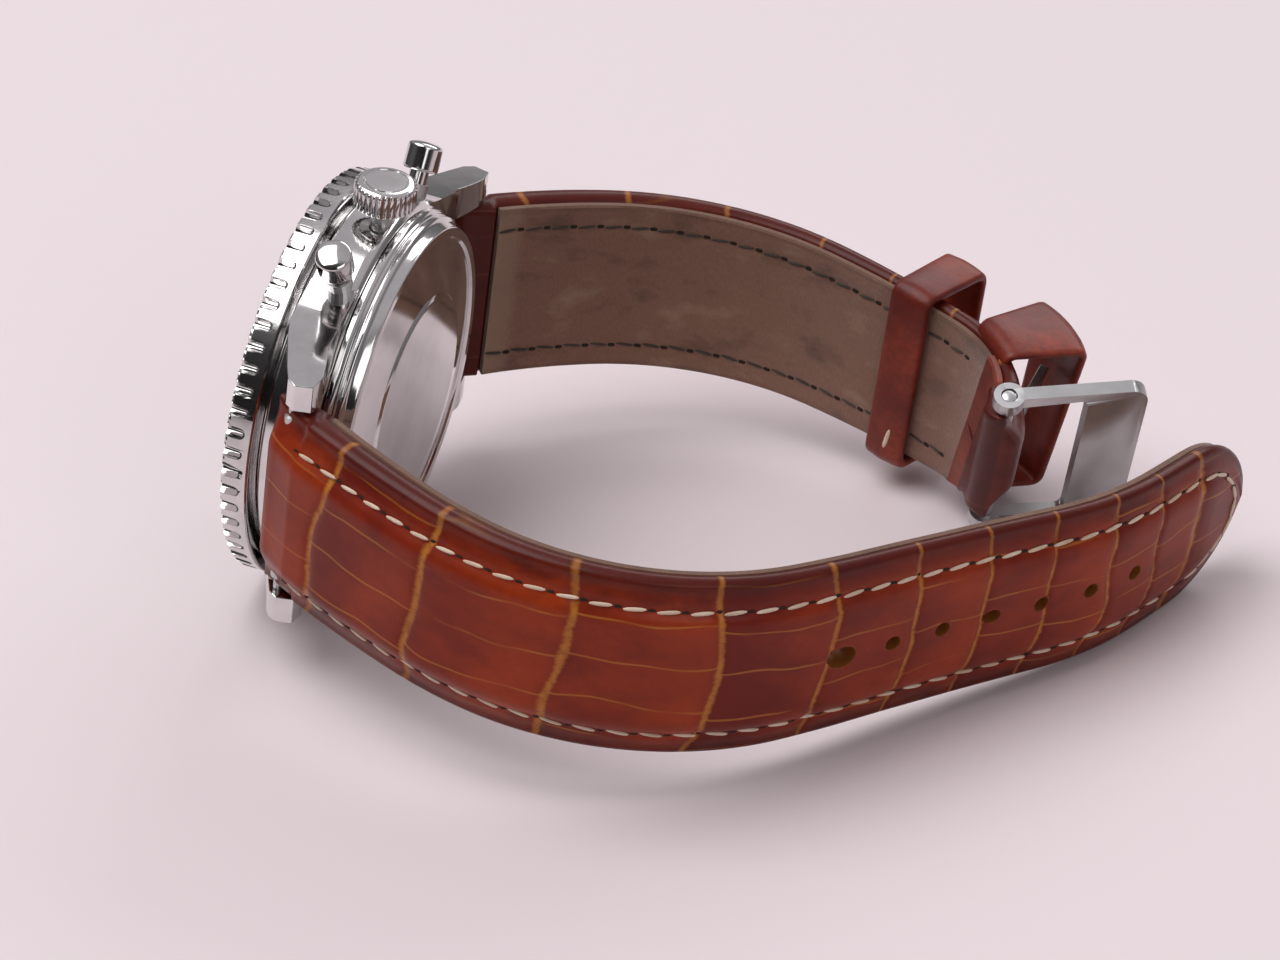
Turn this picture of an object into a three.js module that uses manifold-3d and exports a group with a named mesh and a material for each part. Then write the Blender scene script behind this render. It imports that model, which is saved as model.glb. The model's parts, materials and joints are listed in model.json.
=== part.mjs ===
// Chronograph wristwatch, lying on its nine o'clock side with the strap unbuckled.
// Millimetres, +Z up. Everything is modelled in the head's own frame first:
// x towards three o'clock, y towards twelve o'clock, z out of the dial.
// The last lines lean the whole watch over to the way it lies.
import * as THREE from 'three';
import { mergeVertices } from 'three/addons/utils/BufferGeometryUtils.js';
import Module from 'manifold-3d';

const wasm = await Module();
wasm.setup();
const { Manifold, Mesh } = wasm;

// ---------------------------------------------------------------- sizes
const DEG = Math.PI / 180;
const REST_TILT = 7.9 * DEG;      // how far the dial leans back from upright

// case
const CASE_R = 20;
const CASE_BORE_R = 17.15;
const CASE_TOP = 1.6;
const CASE_BOTTOM = -3.7;
const NECK_R = 18.8;              // the neck that the bezel turns on
const NECK_TOP = 4.4;
const LUG_INNER_X = 11.2;
const LUG_OUTER_X = 14.8;
const LUG_BAR_Y = 22.5;
const LUG_BAR_Z = -2.6;
const LUG_TIP_R = 0.55;           // spring bar hole in the lug

// bezel
const BEZEL_R = 21.4;
const BEZEL_BOTTOM = 2.05;
const BEZEL_BAND_TOP = 2.75;
const BEZEL_TOP = 5;
const BEZEL_NOTCHES = 60;
const BEZEL_NOTCH_DEPTH = 0.9;

// crown and pushers
const CROWN_Z = -1.9;
const CROWN_R = 3.2;
const CROWN_FLUTES = 32;
const CROWN_IN = 21.6;
const CROWN_OUT = 24.4;
const STEM_R = 0.5;
const FORK_X = 10.7;              // where the setting lever grips the stem
const PUSHER_ANGLE = 29 * DEG;
const PUSHER_Z = -1.5;
const PUSHER_HEAD_R = 1.85;
const PUSHER_HEAD_IN = 22.7;
const PUSHER_HEAD_OUT = 25.7;

// dial and movement
const DIAL_R = 16.9;
const DIAL_BOTTOM = 0.3;
const DIAL_TOP = 0.7;
const SUBDIAL_OFFSET = 7.2;
const PLATE_R = 15.25;
const PLATE_TOP = -0.5;
const PLATE_BOTTOM = -1.9;

// strap
const STRAP_WIDTH_LUG = 21.8;
const STRAP_WIDTH_END = 18.4;
const STRAP_THICK_LUG = 5.5;
const STRAP_THICK_END = 3.4;
const LINING_THICK = 0.85;
const LINING_INSET = 0.5;
const SEAM_GAP = 0.05;
const LUG_ROLL_R = 2.15;          // rolled end round the lug's bar
const BAR_ROLL_R = 2.3;           // rolled end round the buckle's bar
const BAR_ROLL_INSET = 0.55;
const ROLL_HOLE_R = 0.9;          // tunnel for the spring bars
const HOLE_COUNT = 7;
const FIRST_HOLE_S = 62.9;
const HOLE_PITCH = 5.92;
const HOLE_R = 0.8;
const WORN_HOLE_R = 1.25;
const TIP_LENGTH = 11;

// Each strap half leaves its spring bar at a heading in the plan of the loop and
// then bends in even arcs. A stretch is [length, heading in degrees at its end].
const LONG_HEADING = -30;
const LONG_STRETCHES = [[18, -22], [8, -12], [32, 47], [8, 51], [22, 48.5], [14, 68], [17, 71]];
const SHORT_HEADING = 46;
const SHORT_STRETCHES = [[16, 31], [27, -16], [16, -25], [13.5, -78]];
const SHORT_LEAN = 20.7 * DEG;    // skew of the short strap's end
const SHORT_LEAN_FROM = 57;

// keepers and buckle
const SLIDE_KEEPER = { from: 51.6, to: 56.6, rise: 4.2, wall: 1.0, clear: 0.25 };
const FIXED_KEEPER = { from: 61.2, to: 66.4, rise: 6, wall: 1.0, clear: 0.25 };
const BUCKLE_BAR_R = 0.8;
const BUCKLE_BAR_HALF = 10.95;
const BUCKLE_HEADING = 30;
const BUCKLE_LENGTH = 14.5;
const BUCKLE_PLATE_FROM = 8.3;
const BUCKLE_ARM_IN = 9.45;
const BUCKLE_ARM_OUT = 10.9;
const BUCKLE_THICK = 1.5;
const BUCKLE_EYE_R = 1.6;
const TANG_HEADING = 87;
const TANG_LENGTH = 13.4;
const TANG_WIDTH = 2;

// ---------------------------------------------------------------- helpers

/** A manifold body made from any closed three.js geometry, turned outward if needed. */
function solid(geometry) {
  const bare = geometry.index ? geometry.toNonIndexed() : geometry.clone();
  bare.deleteAttribute('normal');
  bare.deleteAttribute('uv');
  const merged = mergeVertices(bare, 1e-5);
  const at = merged.attributes.position;
  const index = merged.index.array;
  const triangles = [];
  let volume = 0;
  const a = new THREE.Vector3();
  const b = new THREE.Vector3();
  const c = new THREE.Vector3();
  for (let i = 0; i < index.length; i += 3) {
    const [p, q, r] = [index[i], index[i + 1], index[i + 2]];
    if (p === q || q === r || p === r) continue;
    triangles.push(p, q, r);
    a.fromBufferAttribute(at, p);
    b.fromBufferAttribute(at, q);
    c.fromBufferAttribute(at, r);
    volume += a.dot(b.cross(c));
  }
  if (volume < 0) {
    for (let i = 0; i < triangles.length; i += 3) {
      [triangles[i], triangles[i + 1]] = [triangles[i + 1], triangles[i]];
    }
  }
  const mesh = new Mesh({
    numProp: 3,
    vertProperties: new Float32Array(at.array),
    triVerts: new Uint32Array(triangles),
  });
  return new Manifold(mesh);
}

/** The three.js geometry of a manifold body. */
function geometryOf(body) {
  const mesh = body.getMesh();
  const geometry = new THREE.BufferGeometry();
  geometry.setAttribute('position', new THREE.BufferAttribute(new Float32Array(mesh.vertProperties), 3));
  geometry.setIndex(new THREE.BufferAttribute(new Uint32Array(mesh.triVerts), 1));
  return geometry;
}

function join(first, ...rest) {
  return rest.reduce((sum, body) => sum.add(body), first);
}

function cut(first, ...rest) {
  return rest.reduce((left, body) => left.subtract(body), first);
}

/** A body turned about z from a closed profile of [radius, z] points. */
function turned(profile, segments = 54) {
  const points = profile.map(([r, z]) => new THREE.Vector2(r, z));
  if (profile[0][0] > 0) points.push(points[0].clone());
  const geometry = new THREE.LatheGeometry(points, segments);
  geometry.rotateX(Math.PI / 2);
  return solid(geometry);
}

/** A plain ring or, with inner 0, a disc, between two heights. */
function ring(inner, outer, low, high, segments = 48) {
  const profile = [[inner, low], [outer, low], [outer, high], [inner, high]];
  return turned(profile, segments);
}

/** A flat outline of [x, y] points, raised from low to high along z. */
function raised(outline, low, high) {
  const shape = new THREE.Shape(outline.map(([x, y]) => new THREE.Vector2(x, y)));
  const geometry = new THREE.ExtrudeGeometry(shape, { depth: high - low, bevelEnabled: false });
  geometry.translate(0, 0, low);
  return solid(geometry);
}

function box(x0, x1, y0, y1, z0, z1) {
  const geometry = new THREE.BoxGeometry(x1 - x0, y1 - y0, z1 - z0);
  geometry.translate((x0 + x1) / 2, (y0 + y1) / 2, (z0 + z1) / 2);
  return solid(geometry);
}

/** A body moved so that its own x, y, z axes lie along the given vectors from an origin. */
function placed(body, origin, xAxis, yAxis, zAxis) {
  const matrix = new THREE.Matrix4().makeBasis(xAxis, yAxis, zAxis);
  matrix.setPosition(origin);
  return body.transform(matrix.elements);
}

/** A turned body whose own z axis is laid along a direction from an origin. */
function along(body, origin, direction) {
  const z = direction.clone().normalize();
  const hint = Math.abs(z.x) < 0.9 ? new THREE.Vector3(1, 0, 0) : new THREE.Vector3(0, 1, 0);
  const y = new THREE.Vector3().crossVectors(z, hint).normalize();
  const x = new THREE.Vector3().crossVectors(y, z);
  return placed(body, origin, x, y, z);
}

function vec(x, y, z) {
  return new THREE.Vector3(x, y, z);
}

/** A round outline with a number of notches cut in its edge. */
function notchedOutline(radius, depth, count, share) {
  const outline = [];
  const step = (2 * Math.PI) / count;
  const half = (step * share) / 2;
  for (let i = 0; i < count; i += 1) {
    const spots = [[-half, radius], [-half * 0.5, radius - depth], [half * 0.5, radius - depth], [half, radius]];
    for (const [turn, r] of spots) {
      const angle = i * step + turn;
      outline.push([r * Math.cos(angle), r * Math.sin(angle)]);
    }
  }
  return outline;
}

/** A saw-edged round outline, for the small wheels. */
function toothedOutline(radius, depth, count) {
  return Array.from({ length: count * 2 }, (_, i) => {
    const angle = (i * Math.PI) / count;
    const r = i % 2 ? radius - depth : radius;
    return [r * Math.cos(angle), r * Math.sin(angle)];
  });
}

/** A flat toothed wheel with a hub hole, at a place on the movement. */
function wheel(x, y, radius, teeth, low, high, hole) {
  const disc = raised(toothedOutline(radius, radius * 0.1, teeth), low, high);
  return cut(disc, ring(0, hole, low - 1, high + 1, 12)).translate([x, y, 0]);
}

/** A small ball-ended rod standing along z. */
function rod(x, y, radius, low, high, segments = 14) {
  return ring(0, radius, low, high, segments).translate([x, y, 0]);
}

// ---------------------------------------------------------------- strap path

/** The plan of a strap half: place, heading and outward side at any distance s. */
class StrapPath {
  constructor(start, heading, stretches, side, lean, leanFrom) {
    this.start = start;
    this.heading = heading * DEG;
    this.stretches = stretches;
    this.side = side;
    this.lean = lean;
    this.leanFrom = leanFrom;
    this.length = stretches.reduce((sum, [length]) => sum + length, 0);
  }

  /** Plan place [b, y] and heading at s, from the arcs before it. */
  plan(s) {
    let [b, y] = this.start;
    let heading = this.heading;
    let left = s;
    for (const [i, [length, endDegrees]] of this.stretches.entries()) {
      const last = i === this.stretches.length - 1;
      const go = last ? left : Math.min(left, length);
      const bend = (endDegrees * DEG - heading) / length;
      const next = heading + bend * Math.max(0, Math.min(go, length));
      if (Math.abs(bend) < 1e-6 || go <= 0) {
        b += go * Math.cos(heading);
        y += go * Math.sin(heading);
      } else {
        const arc = Math.min(go, length);
        b += (Math.sin(next) - Math.sin(heading)) / bend + (go - arc) * Math.cos(next);
        y += (Math.cos(heading) - Math.cos(next)) / bend + (go - arc) * Math.sin(next);
      }
      heading = next;
      left -= go;
      if (left <= 0 && !last) break;
    }
    return { b, y, heading };
  }

  /** Origin and the width, outward and forward directions of the section at s. */
  section(s) {
    const { b, y, heading } = this.plan(s);
    const forward = vec(0, Math.sin(heading), -Math.cos(heading));
    const outward = vec(0, this.side * Math.cos(heading), this.side * Math.sin(heading));
    const share = Math.max(0, Math.min(1, (s - this.leanFrom) / (this.length - this.leanFrom)));
    const skew = this.lean * share * share * (3 - 2 * share);
    const across = vec(Math.cos(skew), 0, 0).addScaledVector(forward, Math.sin(skew));
    return { origin: vec(0, y, -b), across, outward, forward };
  }

  /** The space point at s, w across and n outward. */
  point(s, w, n) {
    const { origin, across, outward } = this.section(s);
    return origin.clone().addScaledVector(across, w).addScaledVector(outward, n);
  }
}

/** A closed body through rings of points; with hollow rings it is a band round a space. */
function lofted(path, stations, outline, inner) {
  const rings = stations.map((s) => outline(s).map(([w, n]) => path.point(s, w, n)));
  const points = rings.flat();
  const count = rings[0].length;
  const faces = [];
  const quad = (a, b, c, d) => faces.push(a, b, c, a, c, d);
  for (let i = 0; i + 1 < rings.length; i += 1) {
    for (let j = 0; j < count; j += 1) {
      const k = (j + 1) % count;
      quad(i * count + j, i * count + k, (i + 1) * count + k, (i + 1) * count + j);
    }
  }
  const lastRing = (rings.length - 1) * count;
  if (inner) {
    const offset = points.length;
    const inside = stations.map((s) => inner(s).map(([w, n]) => path.point(s, w, n)));
    points.push(...inside.flat());
    for (let i = 0; i + 1 < rings.length; i += 1) {
      for (let j = 0; j < count; j += 1) {
        const k = (j + 1) % count;
        const row = offset + i * count;
        quad(row + j, row + count + j, row + count + k, row + k);
      }
    }
    for (let j = 0; j < count; j += 1) {
      const k = (j + 1) % count;
      quad(j, offset + j, offset + k, k);
      quad(lastRing + j, lastRing + k, offset + lastRing + k, offset + lastRing + j);
    }
  } else {
    for (let j = 1; j + 1 < count; j += 1) {
      faces.push(0, j + 1, j);
      faces.push(lastRing, lastRing + j, lastRing + j + 1);
    }
  }
  const geometry = new THREE.BufferGeometry();
  const flat = points.flatMap((point) => [point.x, point.y, point.z]);
  geometry.setAttribute('position', new THREE.BufferAttribute(new Float32Array(flat), 3));
  geometry.setIndex(faces);
  return solid(geometry);
}

function stationsBetween(from, to, step) {
  const count = Math.max(1, Math.round((to - from) / step));
  return Array.from({ length: count + 1 }, (_, i) => from + ((to - from) * i) / count);
}

/** Width and thickness of a strap half at s, with the pointed tip if it has one. */
function strapSize(path, s, tip) {
  const share = Math.max(0, Math.min(1, s / path.length));
  let half = (STRAP_WIDTH_LUG + (STRAP_WIDTH_END - STRAP_WIDTH_LUG) * share) / 2;
  const thick = STRAP_THICK_LUG + (STRAP_THICK_END - STRAP_THICK_LUG) * Math.min(1, s / 75);
  const intoTip = s - (path.length - TIP_LENGTH);
  if (tip && intoTip > 0) half *= Math.pow(1 - Math.pow(intoTip / TIP_LENGTH, 2), 0.55);
  return { half: Math.max(half, 0.7), thick };
}

/** Outline of the leather: flat under side, turned edges and a padded crown. */
function leatherOutline(half, bottom, top) {
  const height = top - bottom;
  return [
    [-half + 0.35, bottom],
    [-half, bottom + height * 0.22],
    [-half + 0.12, bottom + height * 0.5],
    [-half * 0.93, bottom + height * 0.68],
    [-half * 0.7, bottom + height * 0.82],
    [-half * 0.4, top],
    [half * 0.4, top],
    [half * 0.7, bottom + height * 0.82],
    [half * 0.93, bottom + height * 0.68],
    [half - 0.12, bottom + height * 0.5],
    [half, bottom + height * 0.22],
    [half - 0.35, bottom],
  ];
}

/** Distances at which a strap half has a section: closer where it bends or narrows. */
function strapStations(path, endRoll) {
  const last = path.length;
  const stations = [-LUG_ROLL_R, -LUG_ROLL_R * 0.85, -LUG_ROLL_R * 0.5, 0, 1.6, 3, 3.4];
  if (!endRoll) {
    stations.push(...stationsBetween(7, last - TIP_LENGTH, 3.6));
    stations.push(...[0.25, 0.5, 0.7, 0.85, 0.95, 1].map((k) => last - TIP_LENGTH * (1 - k)));
    return stations;
  }
  stations.push(...stationsBetween(7, SHORT_LEAN_FROM, 4));
  stations.push(...stationsBetween(SHORT_LEAN_FROM + 1.5, last - 3.6, 1.5), last - 3.2, last - 1.5);
  stations.push(last, last + BAR_ROLL_R * 0.5, last + BAR_ROLL_R * 0.85, last + BAR_ROLL_R);
  return stations;
}

/** Leather of a strap half, rolled round a bar at its lug end and, if asked, at its far end. */
function strapLeather(path, tip, endRoll) {
  const last = path.length;
  return lofted(path, strapStations(path, endRoll), (s) => {
    const { half, thick } = strapSize(path, s, tip);
    const lined = s > 3.2 && !(endRoll && s > last - 3.4);
    const narrowed = endRoll && s > last - 3.4 ? half - BAR_ROLL_INSET : half;
    let top = thick / 2;
    let bottom = lined ? -thick / 2 + LINING_THICK + SEAM_GAP : -thick / 2;
    if (s < 3.2) {
      const grown = Math.max(0, Math.min(1, s / 3));
      const rolled = Math.sqrt(Math.max(0.16, LUG_ROLL_R ** 2 - Math.min(0, s) ** 2));
      top = rolled + (thick / 2 - rolled) * grown;
      bottom = -top;
    }
    if (endRoll && s > last - 3.4) {
      const rolled = Math.sqrt(Math.max(0.16, BAR_ROLL_R ** 2 - Math.max(0, s - last) ** 2));
      top = rolled;
      bottom = -rolled;
    }
    return leatherOutline(narrowed, bottom, top);
  });
}

/** The flat lining under a strap half. */
function strapLining(path, tip, to) {
  const inside = strapStations(path, !tip).filter((s) => s > 3.6 && s < to - 0.5);
  return lofted(path, [3.5, ...inside, to], (s) => {
    const { half, thick } = strapSize(path, s, tip);
    const edge = Math.max(half - LINING_INSET, 0.5);
    const low = -thick / 2;
    const high = low + LINING_THICK;
    return [[-edge, low], [edge, low], [edge, high], [-edge, high]];
  });
}

/** Outline of a keeper's inside or outside at s, standing off the strap's outer face. */
function keeperOutline(path, s, keeper, wall) {
  const { half, thick } = strapSize(path, s, false);
  const side = half + keeper.clear + wall;
  const low = -thick / 2 - keeper.clear - wall;
  const high = thick / 2 + keeper.rise + wall;
  const round = 0.9 + wall;
  const corner = (w, n, angle) => [w + round * Math.cos(angle), n + round * Math.sin(angle)];
  const outline = [];
  const centres = [
    [side - round, low + round, -90],
    [side - round, high - round, 0],
    [-side + round, high - round, 90],
    [-side + round, low + round, 180],
  ];
  for (const [w, n, from] of centres) {
    for (const turn of [0, 45, 90]) outline.push(corner(w, n, (from + turn) * DEG));
  }
  // the strap's own edge is squarer than the loop's inner corner, so the low corners are sharp
  if (!wall) {
    outline.splice(0, 3, [side - 0.3, low], [side, low], [side, low + 0.3]);
    outline.splice(9, 3, [-side, low + 0.3], [-side, low], [-side + 0.3, low]);
  }
  return outline;
}

function keeperLoop(path, keeper) {
  const stations = stationsBetween(keeper.from, keeper.to, 1.3);
  const outer = (s) => keeperOutline(path, s, keeper, keeper.wall);
  const inner = (s) => keeperOutline(path, s, keeper, 0);
  return lofted(path, stations, outer, inner);
}

// ---------------------------------------------------------------- sub-parts

const group = new THREE.Group();
group.name = 'chronograph_wristwatch';

const STEEL = { color: 0xd8d9db, roughness: 0.12, metalness: 1 };
const SATIN_STEEL = { color: 0xb9bbbe, roughness: 0.32, metalness: 1 };
const BRASS = { color: 0xc9a961, roughness: 0.35, metalness: 1 };
const NICKEL = { color: 0xbfbfb8, roughness: 0.3, metalness: 1 };
const RUBBER = { color: 0x1c1c1d, roughness: 0.8, metalness: 0 };
const LEATHER = { color: 0x9c431c, roughness: 0.4, metalness: 0 };
const DARK_LEATHER = { color: 0x6f2413, roughness: 0.4, metalness: 0 };
const LINING = { color: 0x705042, roughness: 0.9, metalness: 0 };

function add(name, body, finish) {
  const mesh = new THREE.Mesh(geometryOf(body), new THREE.MeshStandardMaterial(finish));
  mesh.name = name;
  group.add(mesh);
}

/** Direction of a pusher or the crown in the head's plane. */
function radial(angle) {
  return vec(Math.cos(angle), Math.sin(angle), 0);
}

// case middle with its four lugs
function lug(sideX, sideY) {
  const profile = [
    [13.1, 1.5], [15.2, 1.35], [19.6, -0.35], [23.3, -2.05], [24.1, -3.1],
    [23.6, -4.85], [21.6, -5.05], [17.4, -3.75], [13.1, -3.5],
  ];
  const shape = new THREE.Shape(profile.map(([y, z]) => new THREE.Vector2(y, z)));
  const geometry = new THREE.ExtrudeGeometry(shape, {
    depth: LUG_OUTER_X - LUG_INNER_X,
    bevelEnabled: false,
  });
  const body = solid(geometry);
  const upright = placed(body, vec(LUG_INNER_X, 0, 0), vec(0, 1, 0), vec(0, 0, 1), vec(1, 0, 0));
  // a sloping facet takes the outer corner off the lug's end
  const facet = raised([[13.2, 25], [15.4, 25], [15.4, 18.6]], -6, 2);
  return cut(upright, facet).scale([sideX, sideY, 1]);
}

function caseMiddle() {
  const shell = turned([
    [CASE_BORE_R, CASE_BOTTOM], [19.3, CASE_BOTTOM], [19.75, -3.2], [CASE_R, -2.6],
    [CASE_R, 1.2], [19.7, CASE_TOP], [NECK_R, CASE_TOP], [NECK_R, 2.15], [18.5, 2.2],
    [18.5, 2.75], [NECK_R, 2.8], [NECK_R, NECK_TOP], [18.05, NECK_TOP], [18.05, 3],
    [CASE_BORE_R, 3],
  ]);
  let body = join(shell, lug(1, 1), lug(-1, 1), lug(1, -1), lug(-1, -1));
  body = cut(body, ring(17.5, 18.2, CASE_BOTTOM - 1, -3.25, 54));
  const crownHole = ring(0, 1.3, 14, 24, 20);
  body = cut(body, along(crownHole, vec(0, 0, CROWN_Z), radial(0)));
  const pusherHole = ring(0, 1.4, 14, 24, 20);
  for (const side of [1, -1]) {
    body = cut(body, along(pusherHole, vec(0, 0, PUSHER_Z), radial(side * PUSHER_ANGLE)));
    const barHole = ring(0, LUG_TIP_R, -12.6, 12.6, 14);
    body = cut(body, along(barHole, vec(0, side * LUG_BAR_Y, LUG_BAR_Z), vec(1, 0, 0)));
  }
  return body;
}

add('case_middle', caseMiddle(), STEEL);

add('caseback', turned([
  [0, -7.6], [11, -7.6], [11.35, -7.3], [16.8, -6.45], [17.1, -6.75], [18.1, -6.75],
  [18.45, -5.9], [18.9, -5.6], [19, -4.7], [19.3, -4.5], [19.35, -3.9], [19.1, -3.75],
  [17.05, -3.75], [17.05, -2.75], [16.1, -2.75], [16.1, -5.3], [0, -5.3],
]), STEEL);

add('caseback_gasket', ring(17.6, 18.1, -3.68, -3.3, 36), RUBBER);

add('crystal', turned([
  [0, 3.6], [9, 3.45], [17.35, 3.1], [17.4, 4.5], [17.1, 4.75], [12, 5.05], [6, 5.22], [0, 5.28],
], 40), { color: 0xeef3f5, roughness: 0.03, metalness: 0, transparent: true, opacity: 0.25 });

add('crystal_gasket', ring(17.45, 18, 3.05, 4.35, 40), RUBBER);

function bezel() {
  const band = turned([
    [19.1, BEZEL_BOTTOM], [BEZEL_R - 0.25, BEZEL_BOTTOM], [BEZEL_R, BEZEL_BOTTOM + 0.2],
    [BEZEL_R, BEZEL_BAND_TOP + 0.05], [18.9, BEZEL_BAND_TOP + 0.05], [18.9, 2.62], [18.62, 2.6],
    [18.62, 2.3],
  ], 60);
  const front = cut(
    raised(notchedOutline(BEZEL_R, BEZEL_NOTCH_DEPTH, BEZEL_NOTCHES, 0.52), BEZEL_BAND_TOP, BEZEL_TOP),
    ring(0, 18.9, 0, 6, 60),
  );
  return join(band, front);
}

add('bezel', bezel(), STEEL);

// dial side
add('slide_rule_ring', turned([
  [15.05, 0.85], [17, 0.85], [17, 2.85], [16.6, 2.85], [15.05, 1.5],
], 48), { color: 0x16171a, roughness: 0.5, metalness: 0.2 });

add('inner_flange', ring(13.7, 14.95, 0.75, 1.4, 40), { color: 0xc9cbcd, roughness: 0.4, metalness: 0.3 });

const SUBDIAL_ANGLES = { nine: 180 * DEG, twelve: 90 * DEG, six: -90 * DEG };

function subdialPlace(angle) {
  return [SUBDIAL_OFFSET * Math.cos(angle), SUBDIAL_OFFSET * Math.sin(angle)];
}

function dial() {
  let body = ring(0, DIAL_R, DIAL_BOTTOM, DIAL_TOP, 48);
  body = cut(body, rod(0, 0, 1.3, 0, 1, 20));
  for (const angle of Object.values(SUBDIAL_ANGLES)) {
    const [x, y] = subdialPlace(angle);
    body = cut(body, rod(x, y, 0.45, 0, 1, 12));
    const recess = ring(0, 3.9, DIAL_TOP - 0.12, DIAL_TOP + 0.2, 24).translate([x, y, 0]);
    body = cut(body, recess);
  }
  return cut(body, box(11.4, 13.3, -1, 1, 0, 1));
}

add('dial', dial(), { color: 0x14161a, roughness: 0.35, metalness: 0.1 });

add('date_disc', ring(11, 14.4, -0.3, 0.1, 48), { color: 0xf2f0ea, roughness: 0.6, metalness: 0 });

/** A hand lying along an angle: hub, tapering blade and tail, with a pipe or a pin below. */
function hand(size) {
  const { reach, tail, width, low, high, hub, pin, hole, foot, angle } = size;
  const blade = raised([
    [-tail, -width * 0.4], [0, -width / 2], [reach * 0.85, -width * 0.32], [reach, 0],
    [reach * 0.85, width * 0.32], [0, width / 2], [-tail, width * 0.4],
  ], low, high);
  let body = join(blade, rod(0, 0, hub, low, high, 16), rod(0, 0, pin, foot, high, 16));
  if (hole) body = cut(body, rod(0, 0, hole, foot - 1, high + 1, 16));
  return body.rotate([0, 0, angle]);
}

const HAND_STEEL = { color: 0xe6e7e8, roughness: 0.2, metalness: 1 };
add('hour_hand', hand({
  reach: 8.6, tail: 2, width: 1.4, low: 1, high: 1.16, hub: 1.5, pin: 1.16, hole: 0.94, foot: -0.45, angle: 145,
}), HAND_STEEL);
add('minute_hand', hand({
  reach: 13, tail: 2.4, width: 1.1, low: 1.4, high: 1.56, hub: 1.2, pin: 0.86, hole: 0.6, foot: -2, angle: 35,
}), HAND_STEEL);
add('chrono_seconds_hand', hand({
  reach: 14.2, tail: 4, width: 0.6, low: 1.8, high: 1.94, hub: 0.9, pin: 0.52, hole: 0, foot: -2.1, angle: 90,
}), { color: 0xb3202a, roughness: 0.3, metalness: 0.1 });

function subdialHand(angle, pointing, reach, foot) {
  const [x, y] = subdialPlace(angle);
  const body = hand({
    reach, tail: 1, width: 0.5, low: 0.75, high: 0.87, hub: 0.6, pin: 0.36, hole: 0, foot, angle: pointing,
  });
  return body.translate([x, y, 0]);
}

add('running_seconds_hand', subdialHand(SUBDIAL_ANGLES.nine, -60, 3.1, -1.95), HAND_STEEL);
add('minute_counter_hand', subdialHand(SUBDIAL_ANGLES.twelve, 90, 3.1, -1.6), HAND_STEEL);
add('hour_counter_hand', subdialHand(SUBDIAL_ANGLES.six, 90, 2.8, -1.6), HAND_STEEL);

// movement
function movementRing() {
  let body = ring(15.35, 17, -2.6, 0.15, 48);
  body = cut(body, along(ring(0, 1.3, 14, 19, 16), vec(0, 0, CROWN_Z), radial(0)));
  for (const side of [1, -1]) {
    const hole = along(ring(0, 0.95, 14, 19, 16), vec(0, 0, PUSHER_Z), radial(side * PUSHER_ANGLE));
    body = cut(body, hole);
  }
  return body;
}

add('movement_ring', movementRing(), BRASS);

function mainplate() {
  let body = ring(0, PLATE_R, PLATE_BOTTOM, PLATE_TOP, 48);
  body = cut(body, rod(0, 0, 1.25, -3, 1, 20), box(8.8, 16, -1.4, 1.4, -3, -1.1));
  for (const angle of Object.values(SUBDIAL_ANGLES)) {
    const [x, y] = subdialPlace(angle);
    body = cut(body, rod(x, y, 0.46, -3, 1, 12));
  }
  return body;
}

add('mainplate', mainplate(), NICKEL);

const BALANCE_AT = [5.2, 7.4];
const COCK_POST_AT = [8.1, 11.5];
const BARREL_AT = [-4.6, 8];
const THIRD_AT = [-4.1, -5.4];
const ESCAPE_AT = [3.2, -7.6];
const FORK_AT = [6.9, -5.6];

function trainBridge() {
  const plate = ring(0, 13.2, -3.9, -3.35, 40);
  const opening = raised([[0.6, 1.6], [13.6, 1.6], [13.6, 13.6], [0.6, 13.6]], -4.2, -3);
  let body = cut(plate, opening);
  for (const angle of [170, 215, 268, 322]) {
    const post = rod(12.1 * Math.cos(angle * DEG), 12.1 * Math.sin(angle * DEG), 0.8, -3.4, -1.92);
    body = join(body, post);
  }
  return join(body, rod(0, 0, 0.75, -5, -3.8, 20));
}

add('train_bridge', trainBridge(), NICKEL);

function balanceCock() {
  const [x, y] = BALANCE_AT;
  const [u, v] = COCK_POST_AT;
  const arm = raised([[x - 1.4, y - 0.2], [x + 1, y - 1.4], [u + 1, v - 0.5], [u - 0.7, v + 0.9]], -3.9, -3.4);
  return join(arm, rod(u, v, 0.8, -3.9, -1.92));
}

add('balance_cock', balanceCock(), NICKEL);
add('barrel', wheel(...BARREL_AT, 4.1, 30, -3.2, -2.1, 0.5), BRASS);
add('centre_wheel', wheel(0, 0, 3.6, 26, -2.6, -2.15, 0.7), BRASS);
add('third_wheel', wheel(...THIRD_AT, 2.9, 22, -3.2, -2.8, 0.3), BRASS);
add('fourth_wheel', wheel(...subdialPlace(SUBDIAL_ANGLES.nine), 2.5, 20, -2.55, -2.05, 0.3), BRASS);
add('escape_wheel', wheel(...ESCAPE_AT, 2, 15, -2.7, -2.35, 0.25), BRASS);

function palletFork() {
  const [x, y] = FORK_AT;
  return raised([
    [x - 1.4, y - 1], [x + 0.4, y - 0.3], [x + 1.6, y + 2.4], [x + 0.9, y + 2.6],
    [x - 0.3, y + 0.5], [x - 1.6, y + 0.9], [x - 1.5, y + 0.4], [x - 0.9, y],
  ], -2.7, -2.45);
}

add('pallet_fork', palletFork(), NICKEL);

function balanceWheel() {
  const rim = ring(3.5, 4.1, -3.1, -2.5, 40);
  const spokes = join(
    box(-3.7, 3.7, -0.25, 0.25, -2.9, -2.6),
    box(-0.25, 0.25, -3.7, 3.7, -2.9, -2.6),
    ring(0, 0.5, -3.35, -1.95, 12),
  );
  return join(rim, spokes).translate([...BALANCE_AT, 0]);
}

add('balance_wheel', balanceWheel(), BRASS);

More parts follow.
